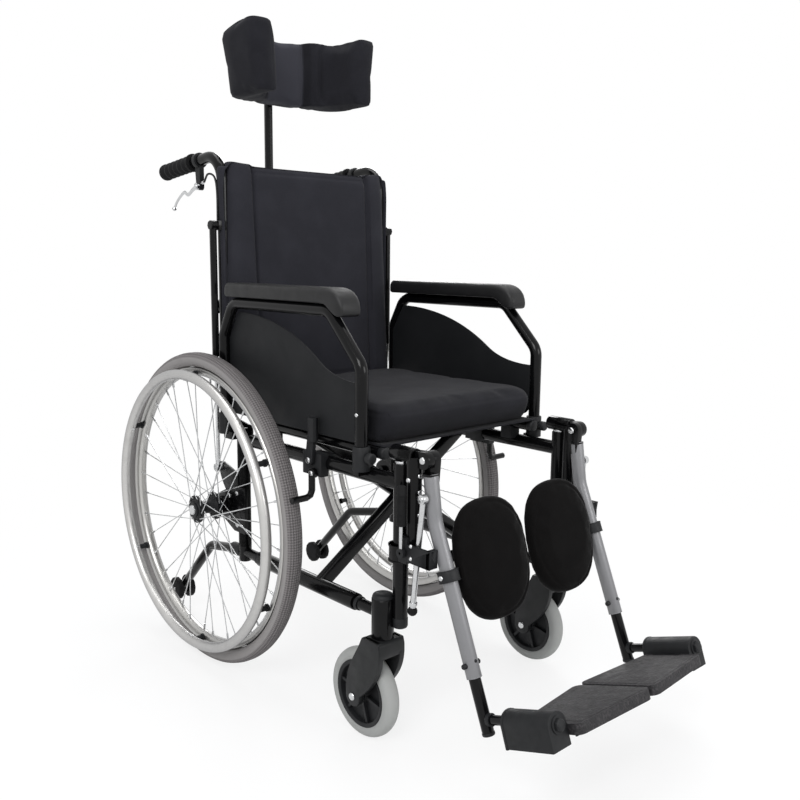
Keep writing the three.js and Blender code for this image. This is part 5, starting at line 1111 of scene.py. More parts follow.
def hanger(side, word):
    s = side
    x = s * HANGER_HALF
    knee = across(link((HANGER_DROP_Y, KNEE_Z), HANGER_TUBE, (KNEE_Y, KNEE_Z), KNEE_RADIUS), s * KNEE_FACE,
        s * (KNEE_FACE + KNEE_THICKNESS))
    top = lengthwise(x, HANGER_DROP_Y - 4, FRONT_POST_Y + 21, HANGER_ARM_Z, HANGER_ARM, 32, cap=3)
    nose = lengthwise(x, FRONT_POST_Y, HANGER_DROP_Y - 4, HANGER_ARM_Z, HANGER_ARM, 32, cap=3)
    drop = upright(x, HANGER_DROP_Y, HANGER_DROP_Z, HANGER_ARM_Z, HANGER_TUBE, 28)
    px = s * FRAME_HALF
    collar = upright(px, FRONT_POST_Y, BLOCK_FOOT_Z - 4, BLOCK_FOOT_Z + COLLAR_HEIGHT, COLLAR_RADIUS, 36)
    lips = [upright(px, FRONT_POST_Y, z, z + 3, COLLAR_RADIUS + 1.4, 36)
        for z in (BLOCK_FOOT_Z - 4, BLOCK_FOOT_Z + COLLAR_HEIGHT - 3)]
    body = [block(s * (HANGER_HALF - HANGER_TUBE), s * BLOCK_OUTER, BLOCK_MID_Y, BLOCK_REAR_Y, BLOCK_FOOT_Z,
            BLOCK_TOP_Z), block(s * (BLOCK_OUTER - BLOCK_WALL), s * BLOCK_OUTER, BLOCK_FRONT_Y, BLOCK_MID_Y,
            BLOCK_FOOT_Z + 4, BLOCK_TOP_Z - 9), block(s * (LEG_HALF + LEG_TUBE + 0.3), s * BLOCK_OUTER,
            BLOCK_FRONT_Y, BLOCK_SLOT_Y, BLOCK_FOOT_Z + 4, BLOCK_TOP_Z - 9)]
    facing = Vector((s, 0, 0))
    pins = [pin(s * (LEG_HALF - KNEE_THICKNESS), s * (KNEE_FACE + KNEE_THICKNESS), KNEE_Y, KNEE_Z, 5),
        pin(s * (BLOCK_OUTER - BLOCK_WALL), s * (RELEASE_HALF + 3.2), RELEASE_Y, RELEASE_Z, 3)]
    screws = [bolt(at(s * (KNEE_FACE + KNEE_THICKNESS), KNEE_Y, KNEE_Z), facing, 6, 3),
        bolt(at(s * (LEG_HALF - KNEE_THICKNESS), KNEE_Y, KNEE_Z), -facing, 6, 3),
        bolt(at(s * (HANGER_HALF + HANGER_TUBE - 0.8), HANGER_DROP_Y, 455), facing, 4.2, 2.5),
        bolt(at(s * BLOCK_OUTER, BLOCK_MID_Y - 10, BLOCK_FOOT_Z + 12), facing, 3.2, 2),
        bolt(at(s * BLOCK_OUTER, BLOCK_MID_Y - 10, BLOCK_TOP_Z - 10), facing, 3.2, 2)]
    front = Vector((0, -1, 0))
    screws += [bolt(at(x, HANGER_DROP_Y - HANGER_TUBE + 0.6, z), front, 3.6, 2.2) for z in HANGER_SCREW_ZS]
    side_piece(word, "hanger_body", "hanger", "legrest_hanger",
        [(FRAME, [knee, top, nose, drop, collar] + lips), (PLASTIC, body), (STEEL, pins + screws)],
        bevel=1.0)


def leg_tube(side, word):
    s = side
    x = s * LEG_HALF
    path = [at(x, LEG_TOP_Y, LEG_TOP_Z), at(x, LEG_BEND_Y, LEG_BEND_Z), at(x, LEG_END_Y, LEG_END_Z)]
    bar = tube(path, LEG_TUBE, LEG_BEND, 32, 14)
    down = (path[2] - path[1]).normalized()
    outer = KNEE_FACE - 0.3
    eye = across(link((KNEE_Y, KNEE_Z), KNEE_RADIUS, (LEG_TOP_Y, LEG_TOP_Z - KNEE_RADIUS), LEG_TUBE - 4),
        s * (outer - KNEE_THICKNESS), s * outer)
    cap = upright(x, LEG_TOP_Y + 0.5, LEG_TOP_Z - 3, LEG_TOP_Z + 1, LEG_TUBE + 0.8, 32)
    clamp_centre = on_leg(s, CALF_CLAMP_Z)
    half = down * CALF_CLAMP_HEIGHT / 2000
    clamp = rod(clamp_centre - half, clamp_centre + half, CALF_CLAMP, 36)
    groove = [rod(clamp_centre + half * k - down * 0.5 / 1000, clamp_centre + half * k + down * 0.5 / 1000,
            CALF_CLAMP + 0.7, 36) for k in (-0.92, 0.92)]
    hinge = at(s * (LEG_HALF - LEG_TUBE), clamp_centre.y * 1000 - AXLE_Y * 1000 + CALF_REACH, CALF_CLAMP_Z)
    boss = stretch(hinge, down, -CALF_BOSS, CALF_BOSS, CALF_HINGE, 24)
    hy = hinge.y * 1000 - AXLE_Y * 1000
    bridge = block(x, hinge.x * 1000, hy - CALF_REACH, hy, CALF_CLAMP_Z - 5, CALF_CLAMP_Z + 5)
    strut_pin = pin(x, s * (STRUT_HALF + STRUT_RADIUS), STRUT_EYE_Y, STRUT_EYE_Z, 3)
    lock = on_leg(s, LEG_END_Z + 2 * EXTENSION_TUBE)
    ly, lz = lock.y * 1000 - AXLE_Y * 1000, lock.z * 1000
    knob = [capped(at(x, ly, lz), at(x + w * (LEG_TUBE + 6), ly, lz), 4.2, 1.5, 16) for w in (-1, 1)]
    front = Vector((0, -math.cos(LEG_LEAN), math.sin(LEG_LEAN)))
    dot = on_leg(s, LEG_END_Z + 2 * EXTENSION_TUBE + 4) + front * (LEG_TUBE - 0.8) / 1000
    studs = [bolt(dot, front, 2.8, 1.6)]
    facing = Vector((s, 0, 0))
    screws = [bolt(clamp_centre + facing * (CALF_CLAMP - 0.5) / 1000, facing, 4.2, 2.5),
        bolt(at(s * (STRUT_HALF + STRUT_RADIUS), STRUT_EYE_Y, STRUT_EYE_Z), facing, 4.6, 1.2)]
    hem = rod(at(x, LEG_END_Y, LEG_END_Z) - down * 1.2 / 1000, at(x, LEG_END_Y, LEG_END_Z), LEG_TUBE + 0.25,
        32)
    side_piece(word, "leg_body", "leg", "leg_tube",
        [(LEG, [bar, hem]), (FRAME, [eye, cap]), (PLASTIC, [clamp, boss, bridge] + groove + knob + studs),
            (STEEL, [strut_pin] + screws)], bevel=0.7)


def strut(side, word):
    """The elevation strut: a thin bar hooked into the leg tube, with a rubber ball at its foot."""
    x = side * STRUT_HALF
    foot, top = at(x, STRUT_FOOT_Y, STRUT_FOOT_Z), at(x, STRUT_EYE_Y, STRUT_EYE_Z)
    way = (top - foot).normalized()
    bar = rod(foot, top - way * 3 / 1000, STRUT_RADIUS, 20)
    eye = pin(x - STRUT_RADIUS + 0.2, x + STRUT_RADIUS - 0.2, STRUT_EYE_Y, STRUT_EYE_Z, 7.6, 28)
    nut = stretch(foot, way, 9, 15, STRUT_RADIUS + 2, 6)
    ball = ball_at(foot, STRUT_BALL, 14, 28)
    side_piece(word, "strut_bar", "strut", "elevation_strut", [(STEEL, [bar, eye, nut]), (RUBBER, [ball])],
        bevel=0.4)


def release_lever(side, word):
    """The legrest's release lever: a rubber grip on a bright rod that turns on the lock block."""
    x = side * RELEASE_HALF
    boss = pin(x - RELEASE_ROD, x + RELEASE_ROD, RELEASE_Y, RELEASE_Z, RELEASE_BOSS, 24)
    bar = upright(x, RELEASE_Y, RELEASE_Z, RELEASE_GRIP_Z + 6, RELEASE_ROD, 20)
    grip = upright(x, RELEASE_Y, RELEASE_GRIP_Z, RELEASE_TOP_Z, RELEASE_GRIP, 28, cap=3.5)
    rings = [upright(x, RELEASE_Y, z, z + 2.2, RELEASE_GRIP + 0.5, 28)
        for z in range(RELEASE_GRIP_Z + 8, RELEASE_TOP_Z - 8, 8)]
    side_piece(word, "release_grip", "release", "release_lever",
        [(STEEL, [bar]), (PLASTIC, [boss]), (RUBBER, [grip] + rings)], bevel=0.4)


def leg_extension(side, word):
    elbow = on_leg(side, ELBOW_Z)
    top = on_leg(side, LEG_END_Z + (LEG_BEND_Z - LEG_END_Z) * 0.52)
    down = (elbow - top).normalized()
    pitch = math.radians(FOOT_PITCH)
    way = Vector((0, -math.cos(pitch), math.sin(pitch)))
    end = elbow + way * FOOT_PIN_LENGTH / 1000
    inner = rod(top, elbow + down * STUB / 1000, EXTENSION_TUBE, 28)
    plug = stretch(elbow, down, STUB - 3, STUB + 2.5, EXTENSION_TUBE + 0.6, 28, cap=2.5)
    arm = rod(elbow, end, FOOT_PIN, 24)
    weld = stretch(elbow, way, 8, 15, FOOT_PIN + 2.4, 24)
    head = rod(end, end + way * 5 / 1000, FOOT_PIN_HEAD, 6)
    side_piece(word, "extension_body", "extension", "leg_extension",
        [(FRAME, [inner, arm]), (PLASTIC, [plug, weld, head])], bevel=0.7)


def footplate(side, word):
    s = side
    origin = on_leg(s, ELBOW_Z)
    place = Matrix.Translation(origin) @ Matrix.Rotation(-math.radians(FOOT_PITCH), 4, "X")

    inner, outer = -s * (LEG_HALF - PLATE_GAP), -s * FOOT_BLOCK_HALF
    corner = 14
    outline = drawn((outer, -PLATE_OUTER_START), (inner + s * corner, -PLATE_INNER_START),
        [8, (inner, -PLATE_INNER_START), (inner, -PLATE_INNER_START - corner)],
        (inner, -PLATE_INNER_END + corner), [8, (inner, -PLATE_INNER_END),
            (inner + s * corner, -PLATE_INNER_END)], (outer - s * corner, -PLATE_OUTER_END),
        [8, (outer, -PLATE_OUTER_END), (outer, -PLATE_OUTER_END + corner)])
    low, high = -PLATE_DROP - PLATE_THICKNESS, -PLATE_DROP

    def pulled(points, z0, z1):
        return skin([[mm(u, v, z) for u, v in points] for z in (z0, z1)])

    plate = pulled(outline, low, high)
    centre = Vector((sum(p[0] for p in outline) / len(outline), sum(p[1] for p in outline) / len(outline)))
    inset = [tuple(centre + (Vector(p) - centre) * 0.9) for p in outline]
    mat = pulled(inset, high - 1, high + 0.5)
    hole_y = -BLOCK_END - 2
    arc_points = [(FOOT_BLOCK_HALF * math.cos(math.pi * i / 20),
            FOOT_BLOCK_TOP * math.sin(math.pi * i / 20)) for i in range(21)]
    section = [(-FOOT_BLOCK_HALF, -FOOT_BLOCK_DROP), (FOOT_BLOCK_HALF, -FOOT_BLOCK_DROP)] + arc_points
    hump = skin([[mm(u, y, v) for u, v in section] for y in (-BLOCK_START, -BLOCK_END)])
    lip = skin([[mm(u * 1.03, y, v * 1.03) for u, v in section] for y in (-BLOCK_START, -BLOCK_START - 5)])
    bridge = skin([[mm(u, v, z) for u, v in ((-s * 10, -BLOCK_END + 14), (outer - s * 14, -BLOCK_END + 14),
                    (outer - s * 14, -PLATE_OUTER_START - 14), (-s * 10, -PLATE_OUTER_START - 14))]
            for z in (low, high)])
    ribs = []
    for k in range(4):
        y = -62 - 28 * k
        ribs.append(skin([[mm(u, v, z) for u, v in ((outer - s * 6, y - 1.5), (inner + s * 6, y - 1.5),
                            (inner + s * 6, y + 1.5), (outer - s * 6, y + 1.5))]
                    for z in (low - 4, low + 1)]))
    nut = capped(mm(0, hole_y + 2, 0), mm(0, -FOOT_PIN_LENGTH - 7, 0), 8.5, 2.5, 24)
    ring = rod(mm(0, -BLOCK_END + 2, 0), mm(0, -BLOCK_END - 2.5, 0), 13, 32)
    side_piece(word, "footplate_body", "foot", "footplate",
        [(PLATE, moved([plate, mat] + ribs, place)),
            (PLASTIC, moved([hump, bridge, lip, ring, nut], place))], bevel=1.4)


# Soft pieces
def voxel_mesh(solids, size, smooth):
    """One skin round the solids, remeshed evenly and eased."""
    mesh = mesh_of(solids, "soft")
    holder = shown(bpy.data.objects.new("soft_start", mesh))
    remesh = holder.modifiers.new("remesh", "REMESH")
    remesh.mode, remesh.voxel_size, remesh.adaptivity = "VOXEL", size / 1000, 0
    ease = holder.modifiers.new("ease", "SMOOTH")
    ease.factor, ease.iterations = 0.5, smooth
    made = evaluated(holder)
    bpy.data.objects.remove(holder)
    return made


SOFT = []


def soft(name, body, nodes, solids, finish, voxel=5, smooth=4, cap=8, after=None, fill=0.7, squash=None):
    """A padded piece: an even skin that is blown up as cloth, then drawn in at its seams."""
    made = shown(bpy.data.objects.new(name, voxel_mesh(solids, voxel, smooth)))
    made.data.materials.clear()
    made.data.materials.append(finish)
    SOFT.append({"piece": made, "body": body, "nodes": nodes, "cap": cap, "after": after, "fill": fill,
            "squash": squash, "rest": [v.co.copy() for v in made.data.vertices]})
    return made


def inflate():
    """Runs the cloth on all the soft pieces together, and keeps how far each point may move."""
    scene = bpy.context.scene
    for item in SOFT:
        cloth = item["piece"].modifiers.new("cloth", "CLOTH")
        cloth.settings.use_pressure = True
        cloth.settings.uniform_pressure_force = CLOTH_PRESSURE
        cloth.settings.effector_weights.gravity = 0
        cloth.settings.mass = CLOTH_MASS
        cloth.settings.quality = CLOTH_QUALITY
        cloth.settings.tension_stiffness = CLOTH_STIFFNESS
        cloth.settings.compression_stiffness = CLOTH_STIFFNESS
        cloth.settings.bending_stiffness = CLOTH_BENDING
        cloth.point_cache.frame_end = CLOTH_FRAMES
    for number in range(1, CLOTH_FRAMES + 1):
        scene.frame_set(number)
    depsgraph = bpy.context.evaluated_depsgraph_get()
    for item in SOFT:
        made = item["piece"]
        blown = bpy.data.meshes.new_from_object(made.evaluated_get(depsgraph))
        for vert, rest in zip(blown.vertices, item["rest"]):
            move = vert.co - rest
            limit = item["cap"] / 1000
            vert.co = rest + (move if move.length < limit else move * limit / move.length)
        made.modifiers.clear()
        old, made.data = made.data, blown
        bpy.data.meshes.remove(old)
    scene.frame_set(1)


def dress():
    """Subdivides, draws the seams in, and hangs each soft piece on its body in place of its CAD nodes."""
    for item in SOFT:
        made = item["piece"]
        ease = made.modifiers.new("ease", "SMOOTH")
        ease.factor, ease.iterations = 0.5, 2
        fine = made.modifiers.new("fine", "SUBSURF")
        fine.levels = fine.render_levels = 1
        mesh = evaluated(made)
        made.modifiers.clear()
        old, made.data = made.data, mesh
        bpy.data.meshes.remove(old)
        if item["after"]:
            for vert in mesh.vertices:
                x, y, z = vert.co.x * 1000, (vert.co.y - AXLE_Y) * 1000, vert.co.z * 1000
                vert.co = at(*item["after"](x, y, z))
        smooth_faces(mesh)
        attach(made, item["body"])
        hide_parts(*item["nodes"])
        if item["squash"]:
            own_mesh(made)


def bell(value, centre, width):
    return math.exp(-((value - centre) / width) ** 2)


def rounded_box(x0, x1, y0, y1, z0, z1, r):
    """A box with its upright edges rounded, as a start for a pad."""
    outline = corner_arcs([((x1 - r, y1 - r), r, 0), ((x0 + r, y1 - r), r, 90), ((x0 + r, y0 + r), r, 180),
            ((x1 - r, y0 + r), r, 270)], 6)
    return skin([[at(u, v, z) for u, v in outline] for z in (z0, z1)])


def seat_cushion():
    top = CUSHION_FOOT_Z + CUSHION_THICKNESS
    start = rounded_box(-CUSHION_HALF + 3, CUSHION_HALF - 3, CUSHION_FRONT_Y + 3, CUSHION_REAR_Y - 3,
        CUSHION_FOOT_Z + 1, top - 3, 38)

    def after(x, y, z):
        foot = CUSHION_FOOT_Z - 0.1
        z = max(z, foot)
        cx = (CUSHION_FRONT_Y + CUSHION_REAR_Y) / 2
        # The front is drawn under towards the foot and its top edge rolls over.
        nose = clamped((CUSHION_FRONT_Y + 40 - y) / 40)
        low = clamped((top - 22 - z) / (top - 22 - foot))
        high = clamped((z - foot - 30) / (top - foot - 30))
        y += 24 * nose * low ** 1.5
        z += 10 * nose ** 2 * low - 9 * nose ** 1.5 * high
        # The middle is dished a little where it is sat on, and swells between the seams.
        z -= 3 * high * max(0, 1 - (x / 170) ** 2) * max(0, 1 - ((y - cx) / 170) ** 2)
        # Two seams run round the sides, near the top face and near the foot.
        for level, deep in ((top - 10, 1.8), (CUSHION_FOOT_Z + 9, 1.4)):
            pull = deep * bell(z, level, 3.2)
            if abs(x) > CUSHION_HALF - 22:
                x -= math.copysign(pull, x)
            if abs(y - cx) > (CUSHION_REAR_Y - CUSHION_FRONT_Y) / 2 - 22:
                y -= math.copysign(pull, y - cx)
        return clamped(x, -208, 208), y, z

    soft("seat_pad", "seat", ["seat_cushion"], [start], SEAT_CLOTH, voxel=6, smooth=5, cap=8, after=after,
        fill=0.75, squash=(tuple(at(0, -250, 520)), 0.27))


def seat_sling():
    """The stretched seat cloth: a sheet that sags a little between the tops of both rails."""
    half, wide, deep = SLING_HALF, 36, 30
    front, rear = RAIL_FRONT_Y + 2, RAIL_REAR_Y - 2
    top = RAIL_Z + RAIL_RADIUS + 1.2
    points, faces = [], []
    for j in range(deep + 1):
        y = front + (rear - front) * j / deep
        for i in range(wide + 1):
            x = -half + 2 * half * i / wide
            sag = 4.0 * (1 - (x / half) ** 2) * math.sin(math.pi * j / deep) ** 0.3
            points.append(at(x, y, top - sag))
    for j in range(deep):
        for i in range(wide):
            a = j * (wide + 1) + i
            faces.append((a, a + 1, a + wide + 2, a + wide + 1))
    made = bmesh.new()
    corners = [made.verts.new(p) for p in points]
    for face in faces:
        made.faces.new([corners[i] for i in face])
    bmesh.ops.recalc_face_normals(made, faces=made.faces)
    mesh = bpy.data.meshes.new("seat_cloth_sheet")
    made.to_mesh(mesh)
    made.free()
    mesh.materials.append(SEAT_CLOTH)
    smooth_faces(mesh)
    sheet = shown(bpy.data.objects.new("seat_cloth_sheet", mesh))
    thick = sheet.modifiers.new("thick", "SOLIDIFY")
    thick.thickness, thick.offset = CLOTH_THICKNESS / 1000, 0
    solid = evaluated(sheet)
    sheet.modifiers.clear()
    sheet.data = solid
    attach(sheet, "seat")
    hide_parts("seat_sling")
    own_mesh(sheet)


def back_upholstery():
    seam = 142
    front, bolster = -31, -38
    foot = BACK_FOOT_Z - 24
    centre = rounded_box(-seam, seam, front + 1, -2, foot + 2, BACK_TOP_Z - 5, 5)
    parts = [centre]
    for s in (-1, 1):
        x0, x1 = sorted((s * (seam + 1), s * (BACK_HALF - 1)))
        parts.append(rounded_box(x0, x1, bolster + 1, -1, foot + 2, BACK_TOP_Z - 2, 12))
        parts.append(upright(s * CANE_HALF, CANE_Y, foot + 2, BACK_TOP_Z - 12, CANE_RADIUS + 3.4, 28))

    def after(x, y, z):
        off = abs(x)
        in_front = clamped((-8 - y) / 10)
        y += 6.5 * bell(off, seam, 4.2) * in_front
        behind = 1 - in_front
        y -= 2.0 * bell(off, seam + 6, 4) * behind
        # A hem line along the top and the foot of the centre panel.
        if off < seam:
            y += in_front * 1.5 * (bell(z, BACK_TOP_Z - 22, 2.6) + bell(z, foot + 20, 2.6))
        # The sides draw in a little between their ends.
        share = (z - foot) / (BACK_TOP_Z - foot)
        x -= math.copysign(2.5 * math.sin(math.pi * clamped(share)), x) * (off > 150)
        # The pad thins towards its top, most of all at the outer edges.
        rise = clamped(share)
        y += in_front * rise * (22 if off < seam else 24 + 8 * rise * (off - seam) / (BACK_HALF - seam))
        if 680 < z < 760 and off > 175:
            y = max(y, -39.6)
        x = clamped(x, -213.6, 213.6)
        return x, min(y, 22), min(z, BACK_TOP_Z + 2)

    soft("back_pad", "right_back", ["back_upholstery"], parts, BACK_CLOTH, voxel=5, smooth=4, cap=5,
        after=after, fill=0.6, squash=(tuple(at(-200, 0, 700)), 0.33))


def headrest():
    tip = HEAD_HALF - HEAD_WING
    outline = drawn((-HEAD_HALF + 10, HEAD_TIP_Y),
        [6, (-HEAD_HALF, HEAD_TIP_Y), (-HEAD_HALF, HEAD_TIP_Y + 20)], (-HEAD_HALF, HEAD_CORNER_Y - 20),
        [12, (-HEAD_HALF, HEAD_CORNER_Y + 20), (-HEAD_HALF / 2, HEAD_REAR_Y), (0, HEAD_REAR_Y)],
        [12, (HEAD_HALF / 2, HEAD_REAR_Y), (HEAD_HALF, HEAD_CORNER_Y + 20),
            (HEAD_HALF, HEAD_CORNER_Y - 20)], (HEAD_HALF, HEAD_TIP_Y + 20),
        [6, (HEAD_HALF, HEAD_TIP_Y), (HEAD_HALF - 10, HEAD_TIP_Y)],
        [6, (tip, HEAD_TIP_Y), (tip, HEAD_TIP_Y + HEAD_WING / 3)],
        [12, (tip, HEAD_CORNER_Y), (HEAD_HALF / 3, HEAD_REAR_Y - HEAD_CENTRE),
            (0, HEAD_REAR_Y - HEAD_CENTRE)], [12, (-HEAD_HALF / 3, HEAD_REAR_Y - HEAD_CENTRE),
            (-tip, HEAD_CORNER_Y), (-tip, HEAD_TIP_Y + HEAD_WING / 3)],
        [6, (-tip, HEAD_TIP_Y), (-HEAD_HALF + 10, HEAD_TIP_Y)])[:-1]
    start = skin([[at(u, v, z) for u, v in outline] for z in (HEAD_FOOT_Z + 2, HEAD_TOP_Z - 2)])

    def after(x, y, z):
        # A seam runs round the rim of the top and of the foot.
        low, high = HEAD_FOOT_Z + 7, HEAD_TOP_Z - 7
        draw = 1.2 * (bell(z, low, 2.4) + bell(z, high, 2.4))
        mid = 40
        reach = math.hypot(x, y - mid)
        if reach > 60:
            x -= draw * x / reach
            y -= draw * (y - mid) / reach
        # The wings flare outwards towards their tops, and a seam parts each from the middle panel.
        up = clamped((z - HEAD_FOOT_Z) / (HEAD_TOP_Z - HEAD_FOOT_Z))
        out = clamped((abs(x) - 70) / 60)
        x += math.copysign(15 * out * up, x)
        y += 8 * out * up
        z -= 26 * out * up * clamped((y - 20) / 90) ** 1.3
        inside = y < HEAD_REAR_Y - HEAD_CENTRE / 2
        if inside and abs(x) < 110:
            y += 3 * bell(abs(x), HEAD_PANEL - 1, 4)
            y -= 14 * clamped((abs(x) - HEAD_PANEL) / 7) * clamped((110 - abs(x)) / 45)
        return x, y, clamped(z, HEAD_FOOT_Z - 4, HEAD_TOP_Z + 4)

    soft("headrest_cushion", "head_pad", ["headrest_pad"], [start], HEAD_CLOTH, voxel=5, smooth=6, cap=6,
        after=after, fill=0.8)
    hinge_y, hinge_z = HEAD_HINGE_Y, HEAD_HINGE_Z
    ears = []
    for s in (-1, 1):
        ears.append(pin(s * HEAD_EAR_START, s * HEAD_EAR_END, hinge_y, hinge_z, 10, 24))
        ears.append(block(s * HEAD_EAR_START, s * HEAD_EAR_END, HEAD_REAR_Y - 6, hinge_y, hinge_z - 10,
                hinge_z + 10))
    plate = block(-34, 34, HEAD_REAR_Y - 3, HEAD_REAR_Y + 2.6, hinge_z - 15, hinge_z + 26)
    screws = [bolt(at(s * 26, HEAD_REAR_Y + 2.6, hinge_z + d), Vector((0, 1, 0)), 3.4, 2) for s in (-1, 1)
        for d in (-9, 18)]
    piece("headrest_bracket", "head_pad", [], [(FRAME, ears + [plate]), (STEEL, screws)], bevel=0.8)


def swollen(share):
    """Fills an ellipse out towards a rounded oblong."""
    return math.copysign(abs(share) ** 0.8, share)


def calf_pad(side, word):
    s = side
    centre = at(s * CALF_PAD_HALF, CALF_PAD_Y, CALF_PAD_Z)
    place = Matrix.Translation(centre) @ Matrix.Rotation(math.radians(90 - CALF_TILT), 4, "X")
    half = CALF_PAD_THICKNESS / 2
    profile = [(0.0, -half + 1), (0.86, -half + 1), (0.96, -half + 5), (0.985, -4), (0.985, 4),
        (0.955, half - 6), (0.86, half - 1.5), (0.6, half - 0.5), (0.0, half)]
    rings = []
    for share, height in profile:
        share = max(share, 0.02)
        rings.append([mm(CALF_PAD_WIDTH / 2 * share * swollen(math.cos(a)),
                    CALF_PAD_HEIGHT / 2 * share * swollen(math.sin(a)), height) for a in full_turn(64)])
    start = moved([skin(rings)], place)
    back = place.inverted()

    def after(x, y, z):
        p = back @ at(x, y, z) * 1000
        reach = math.hypot(p.x / (CALF_PAD_WIDTH / 2), p.y / (CALF_PAD_HEIGHT / 2))
        if p.z > 2:
            p.z -= 1.5 * bell(reach, 0.9, 0.03)
        p.z = clamped(p.z, -half - 1, half + 3)
        q = place @ (p / 1000)
        return q.x * 1000, (q.y - AXLE_Y) * 1000, q.z * 1000

    soft(f"{word}_calf_cushion", f"{word}_calf", [f"{word}_calf_pad"], start, PAD_COVER, voxel=5, smooth=3,
        cap=5, after=after, fill=0.8)
    clamp = on_leg(s, CALF_CLAMP_Z)
    hinge = at(s * (LEG_HALF - LEG_TUBE), (clamp.y - AXLE_Y) * 1000 + CALF_REACH, CALF_CLAMP_Z)
    lean = Matrix.Translation(hinge) @ Matrix.Rotation(-LEG_LEAN, 4, "X")
    local = Matrix.Rotation(LEG_LEAN, 4, "X") @ (centre - hinge) * 1000

    def flat_box(x0, x1, y0, y1, z0, z1):
        return skin([[mm(x, y, z) for y, z in ((y0, z0), (y1, z0), (y1, z1), (y0, z1))] for x in (x0, x1)])

    reach = s * (CALF_PAD_HALF - 24) - s * (LEG_HALF - LEG_TUBE)
    far = s * (CALF_PAD_HALF + 24) - s * (LEG_HALF - LEG_TUBE)
    foot = CALF_BOSS + 0.3
    metal = [flat_box(0, reach, -2.5, 2.5, foot, foot + 18),
        flat_box(reach, far, local.y + 12, 2.5, foot - 18, foot + 18),
        rod(Vector((0, 0, -0.022)), Vector((0, 0, 0.022)), 4, 16),
        rod(Vector((0, 0, foot / 1000)), Vector((0, 0, (foot + 18) / 1000)), 8, 24)]
    piece(f"{word}_calf_bracket", f"{word}_calf", [], [(FRAME, moved(metal, lean))], bevel=0.8)


# CAD nodes that stay
def dress_nodes():
    """Gives every CAD node that still shows its own finish."""
    looks = {"recline_rod": STEEL_CAD, "brake_lever": PLASTIC_CAD, "anti_tip_wheels": RUBBER_CAD,
        "swing_pin": STEEL_CAD,}
    for name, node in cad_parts.items():
        if node.hide_render:
            continue
        finish = next((look for word, look in looks.items() if word in name), FRAME_CAD)
        node.data.materials.clear()
        node.data.materials.append(finish)


# Studio
def camera():
    yaw, pitch, roll = CAMERA_YAW, CAMERA_PITCH, CAMERA_ROLL
    forward = Vector((math.sin(yaw) * math.cos(pitch), math.cos(yaw) * math.cos(pitch), -math.sin(pitch)))
    level = Vector((math.cos(yaw), -math.sin(yaw), 0))
    upright = level.cross(forward)
    right = level * math.cos(roll) + upright * math.sin(roll)
    up = upright * math.cos(roll) - level * math.sin(roll)
    data = bpy.data.cameras.new("camera")
    data.sensor_width = SENSOR
    data.lens = CAMERA_FOCAL / PICTURE * data.sensor_width
    data.clip_start, data.clip_end = CLIP
    made = bpy.data.objects.new("camera", data)
    turn = Matrix((right, up, -forward)).transposed()
    made.matrix_world = Matrix.Translation(CAMERA) @ turn.to_4x4()
    bpy.context.scene.camera = shown(made)


def lamp(name, place, aim, size, power):
    data = bpy.data.lights.new(name, "AREA")
    data.shape, data.size, data.size_y, data.energy = "RECTANGLE", size[0], size[1], power
    made = bpy.data.objects.new(name, data)
    made.location = place
    made.rotation_euler = (Vector(aim) - Vector(place)).to_track_quat("-Z", "Y").to_euler()
    shown(made)


def seen_white(tree, plain, white, output):
    """Shows white to the camera and in reflections, and the plain shader to all other light."""
    path = tree.nodes.new("ShaderNodeLightPath")
    most = path.outputs["Is Camera Ray"]
    for ray in ("Is Glossy Ray", "Is Transmission Ray"):
        either = tree.nodes.new("ShaderNodeMath")
        either.operation = "MAXIMUM"
        tree.links.new(most, either.inputs[0])
        tree.links.new(path.outputs[ray], either.inputs[1])
        most = either.outputs[0]
    mix = tree.nodes.new("ShaderNodeMixShader")
    tree.links.new(most, mix.inputs[0])
    tree.links.new(plain, mix.inputs[1])
    tree.links.new(white, mix.inputs[2])
    tree.links.new(mix.outputs[0], output)


def filled(tree, kind, **values):
    """A node with some of its sockets filled in. kind is a new node's kind, or a node that is there."""
    made = tree.nodes.new(kind) if isinstance(kind, str) else kind
    for socket, value in values.items():
        made.inputs[socket.replace("_", " ")].default_value = value
    return made


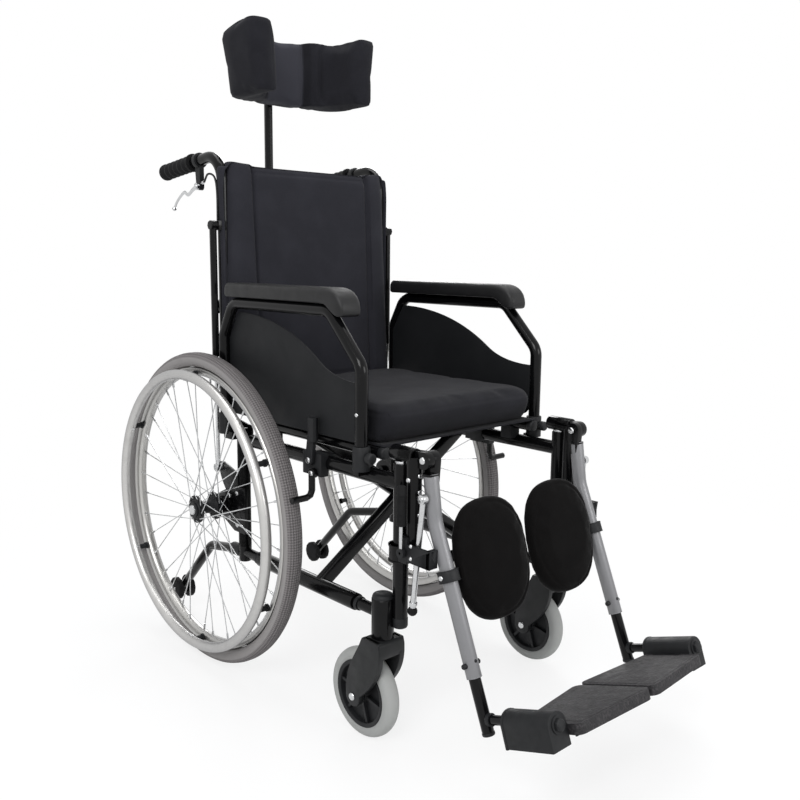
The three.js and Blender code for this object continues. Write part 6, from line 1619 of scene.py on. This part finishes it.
def studio():
    world = bpy.data.worlds.new("world")
    bpy.context.scene.world = world
    world.use_nodes = True
    tree = world.node_tree
    plain = filled(tree, tree.nodes["Background"], Color=WORLD_COLOUR, Strength=WORLD_STRENGTH)
    white = filled(tree, "ShaderNodeBackground", Color=WHITE, Strength=1)
    seen_white(tree, plain.outputs[0], white.outputs[0], tree.nodes["World Output"].inputs["Surface"])

    floor = bpy.data.meshes.new("floor")
    edge = FLOOR_SIZE
    floor.from_pydata([(-edge, -edge, 0), (edge, -edge, 0), (edge, edge, 0), (-edge, edge, 0)], [],
        [(0, 1, 2, 3)])
    ground = bpy.data.objects.new("floor", floor)
    ground.location.z = -FLOOR_DROP
    shown(ground)
    finish = bpy.data.materials.new("floor_white")
    finish.use_nodes = True
    tree = finish.node_tree
    shader = filled(tree, tree.nodes["Principled BSDF"], Base_Color=FLOOR_COLOUR, Roughness=FLOOR_ROUGHNESS)
    glow = filled(tree, "ShaderNodeEmission", Color=WHITE, Strength=1)
    share = tree.nodes.new("ShaderNodeMixShader")
    where = tree.nodes.new("ShaderNodeTexCoord")
    far = tree.nodes.new("ShaderNodeVectorMath")
    far.operation = "LENGTH"
    tree.links.new(where.outputs["Object"], far.inputs[0])
    fade = tree.nodes.new("ShaderNodeMapRange")
    for socket, number in zip(fade.inputs[1:5], FLOOR_FADE):
        socket.default_value = number
    tree.links.new(far.outputs["Value"], fade.inputs[0])
    tree.links.new(fade.outputs[0], share.inputs[0])
    tree.links.new(shader.outputs[0], share.inputs[1])
    tree.links.new(glow.outputs[0], share.inputs[2])
    seen_white(tree, shader.outputs[0], share.outputs[0], tree.nodes["Material Output"].inputs["Surface"])
    floor.materials.append(finish)

    for name, place, across_and_up, power in LAMPS:
        lamp(name, place, LAMP_AIM, across_and_up, power)


bpy.context.scene.view_settings.view_transform = "Standard"
camera()
for side, word in SIDES:
    for build in (rear_tyre, rear_wheel, handrim, caster, caster_fork, side_frame, back_cane, hand_grip,
        hand_lever, armrest, hanger, leg_tube, strut, release_lever, leg_extension, footplate, calf_pad):
        build(side, word)
brace_bar("brace_bar_front", "brace_front", 1, BRACE_Y)
brace_bar("brace_bar_rear", "brace_rear", -1, BRACE_Y + BRACE_THICKNESS + 0.3)
seat_cushion()
back_upholstery()
headrest()
inflate()
dress()
seat_sling()
dress_nodes()
studio()
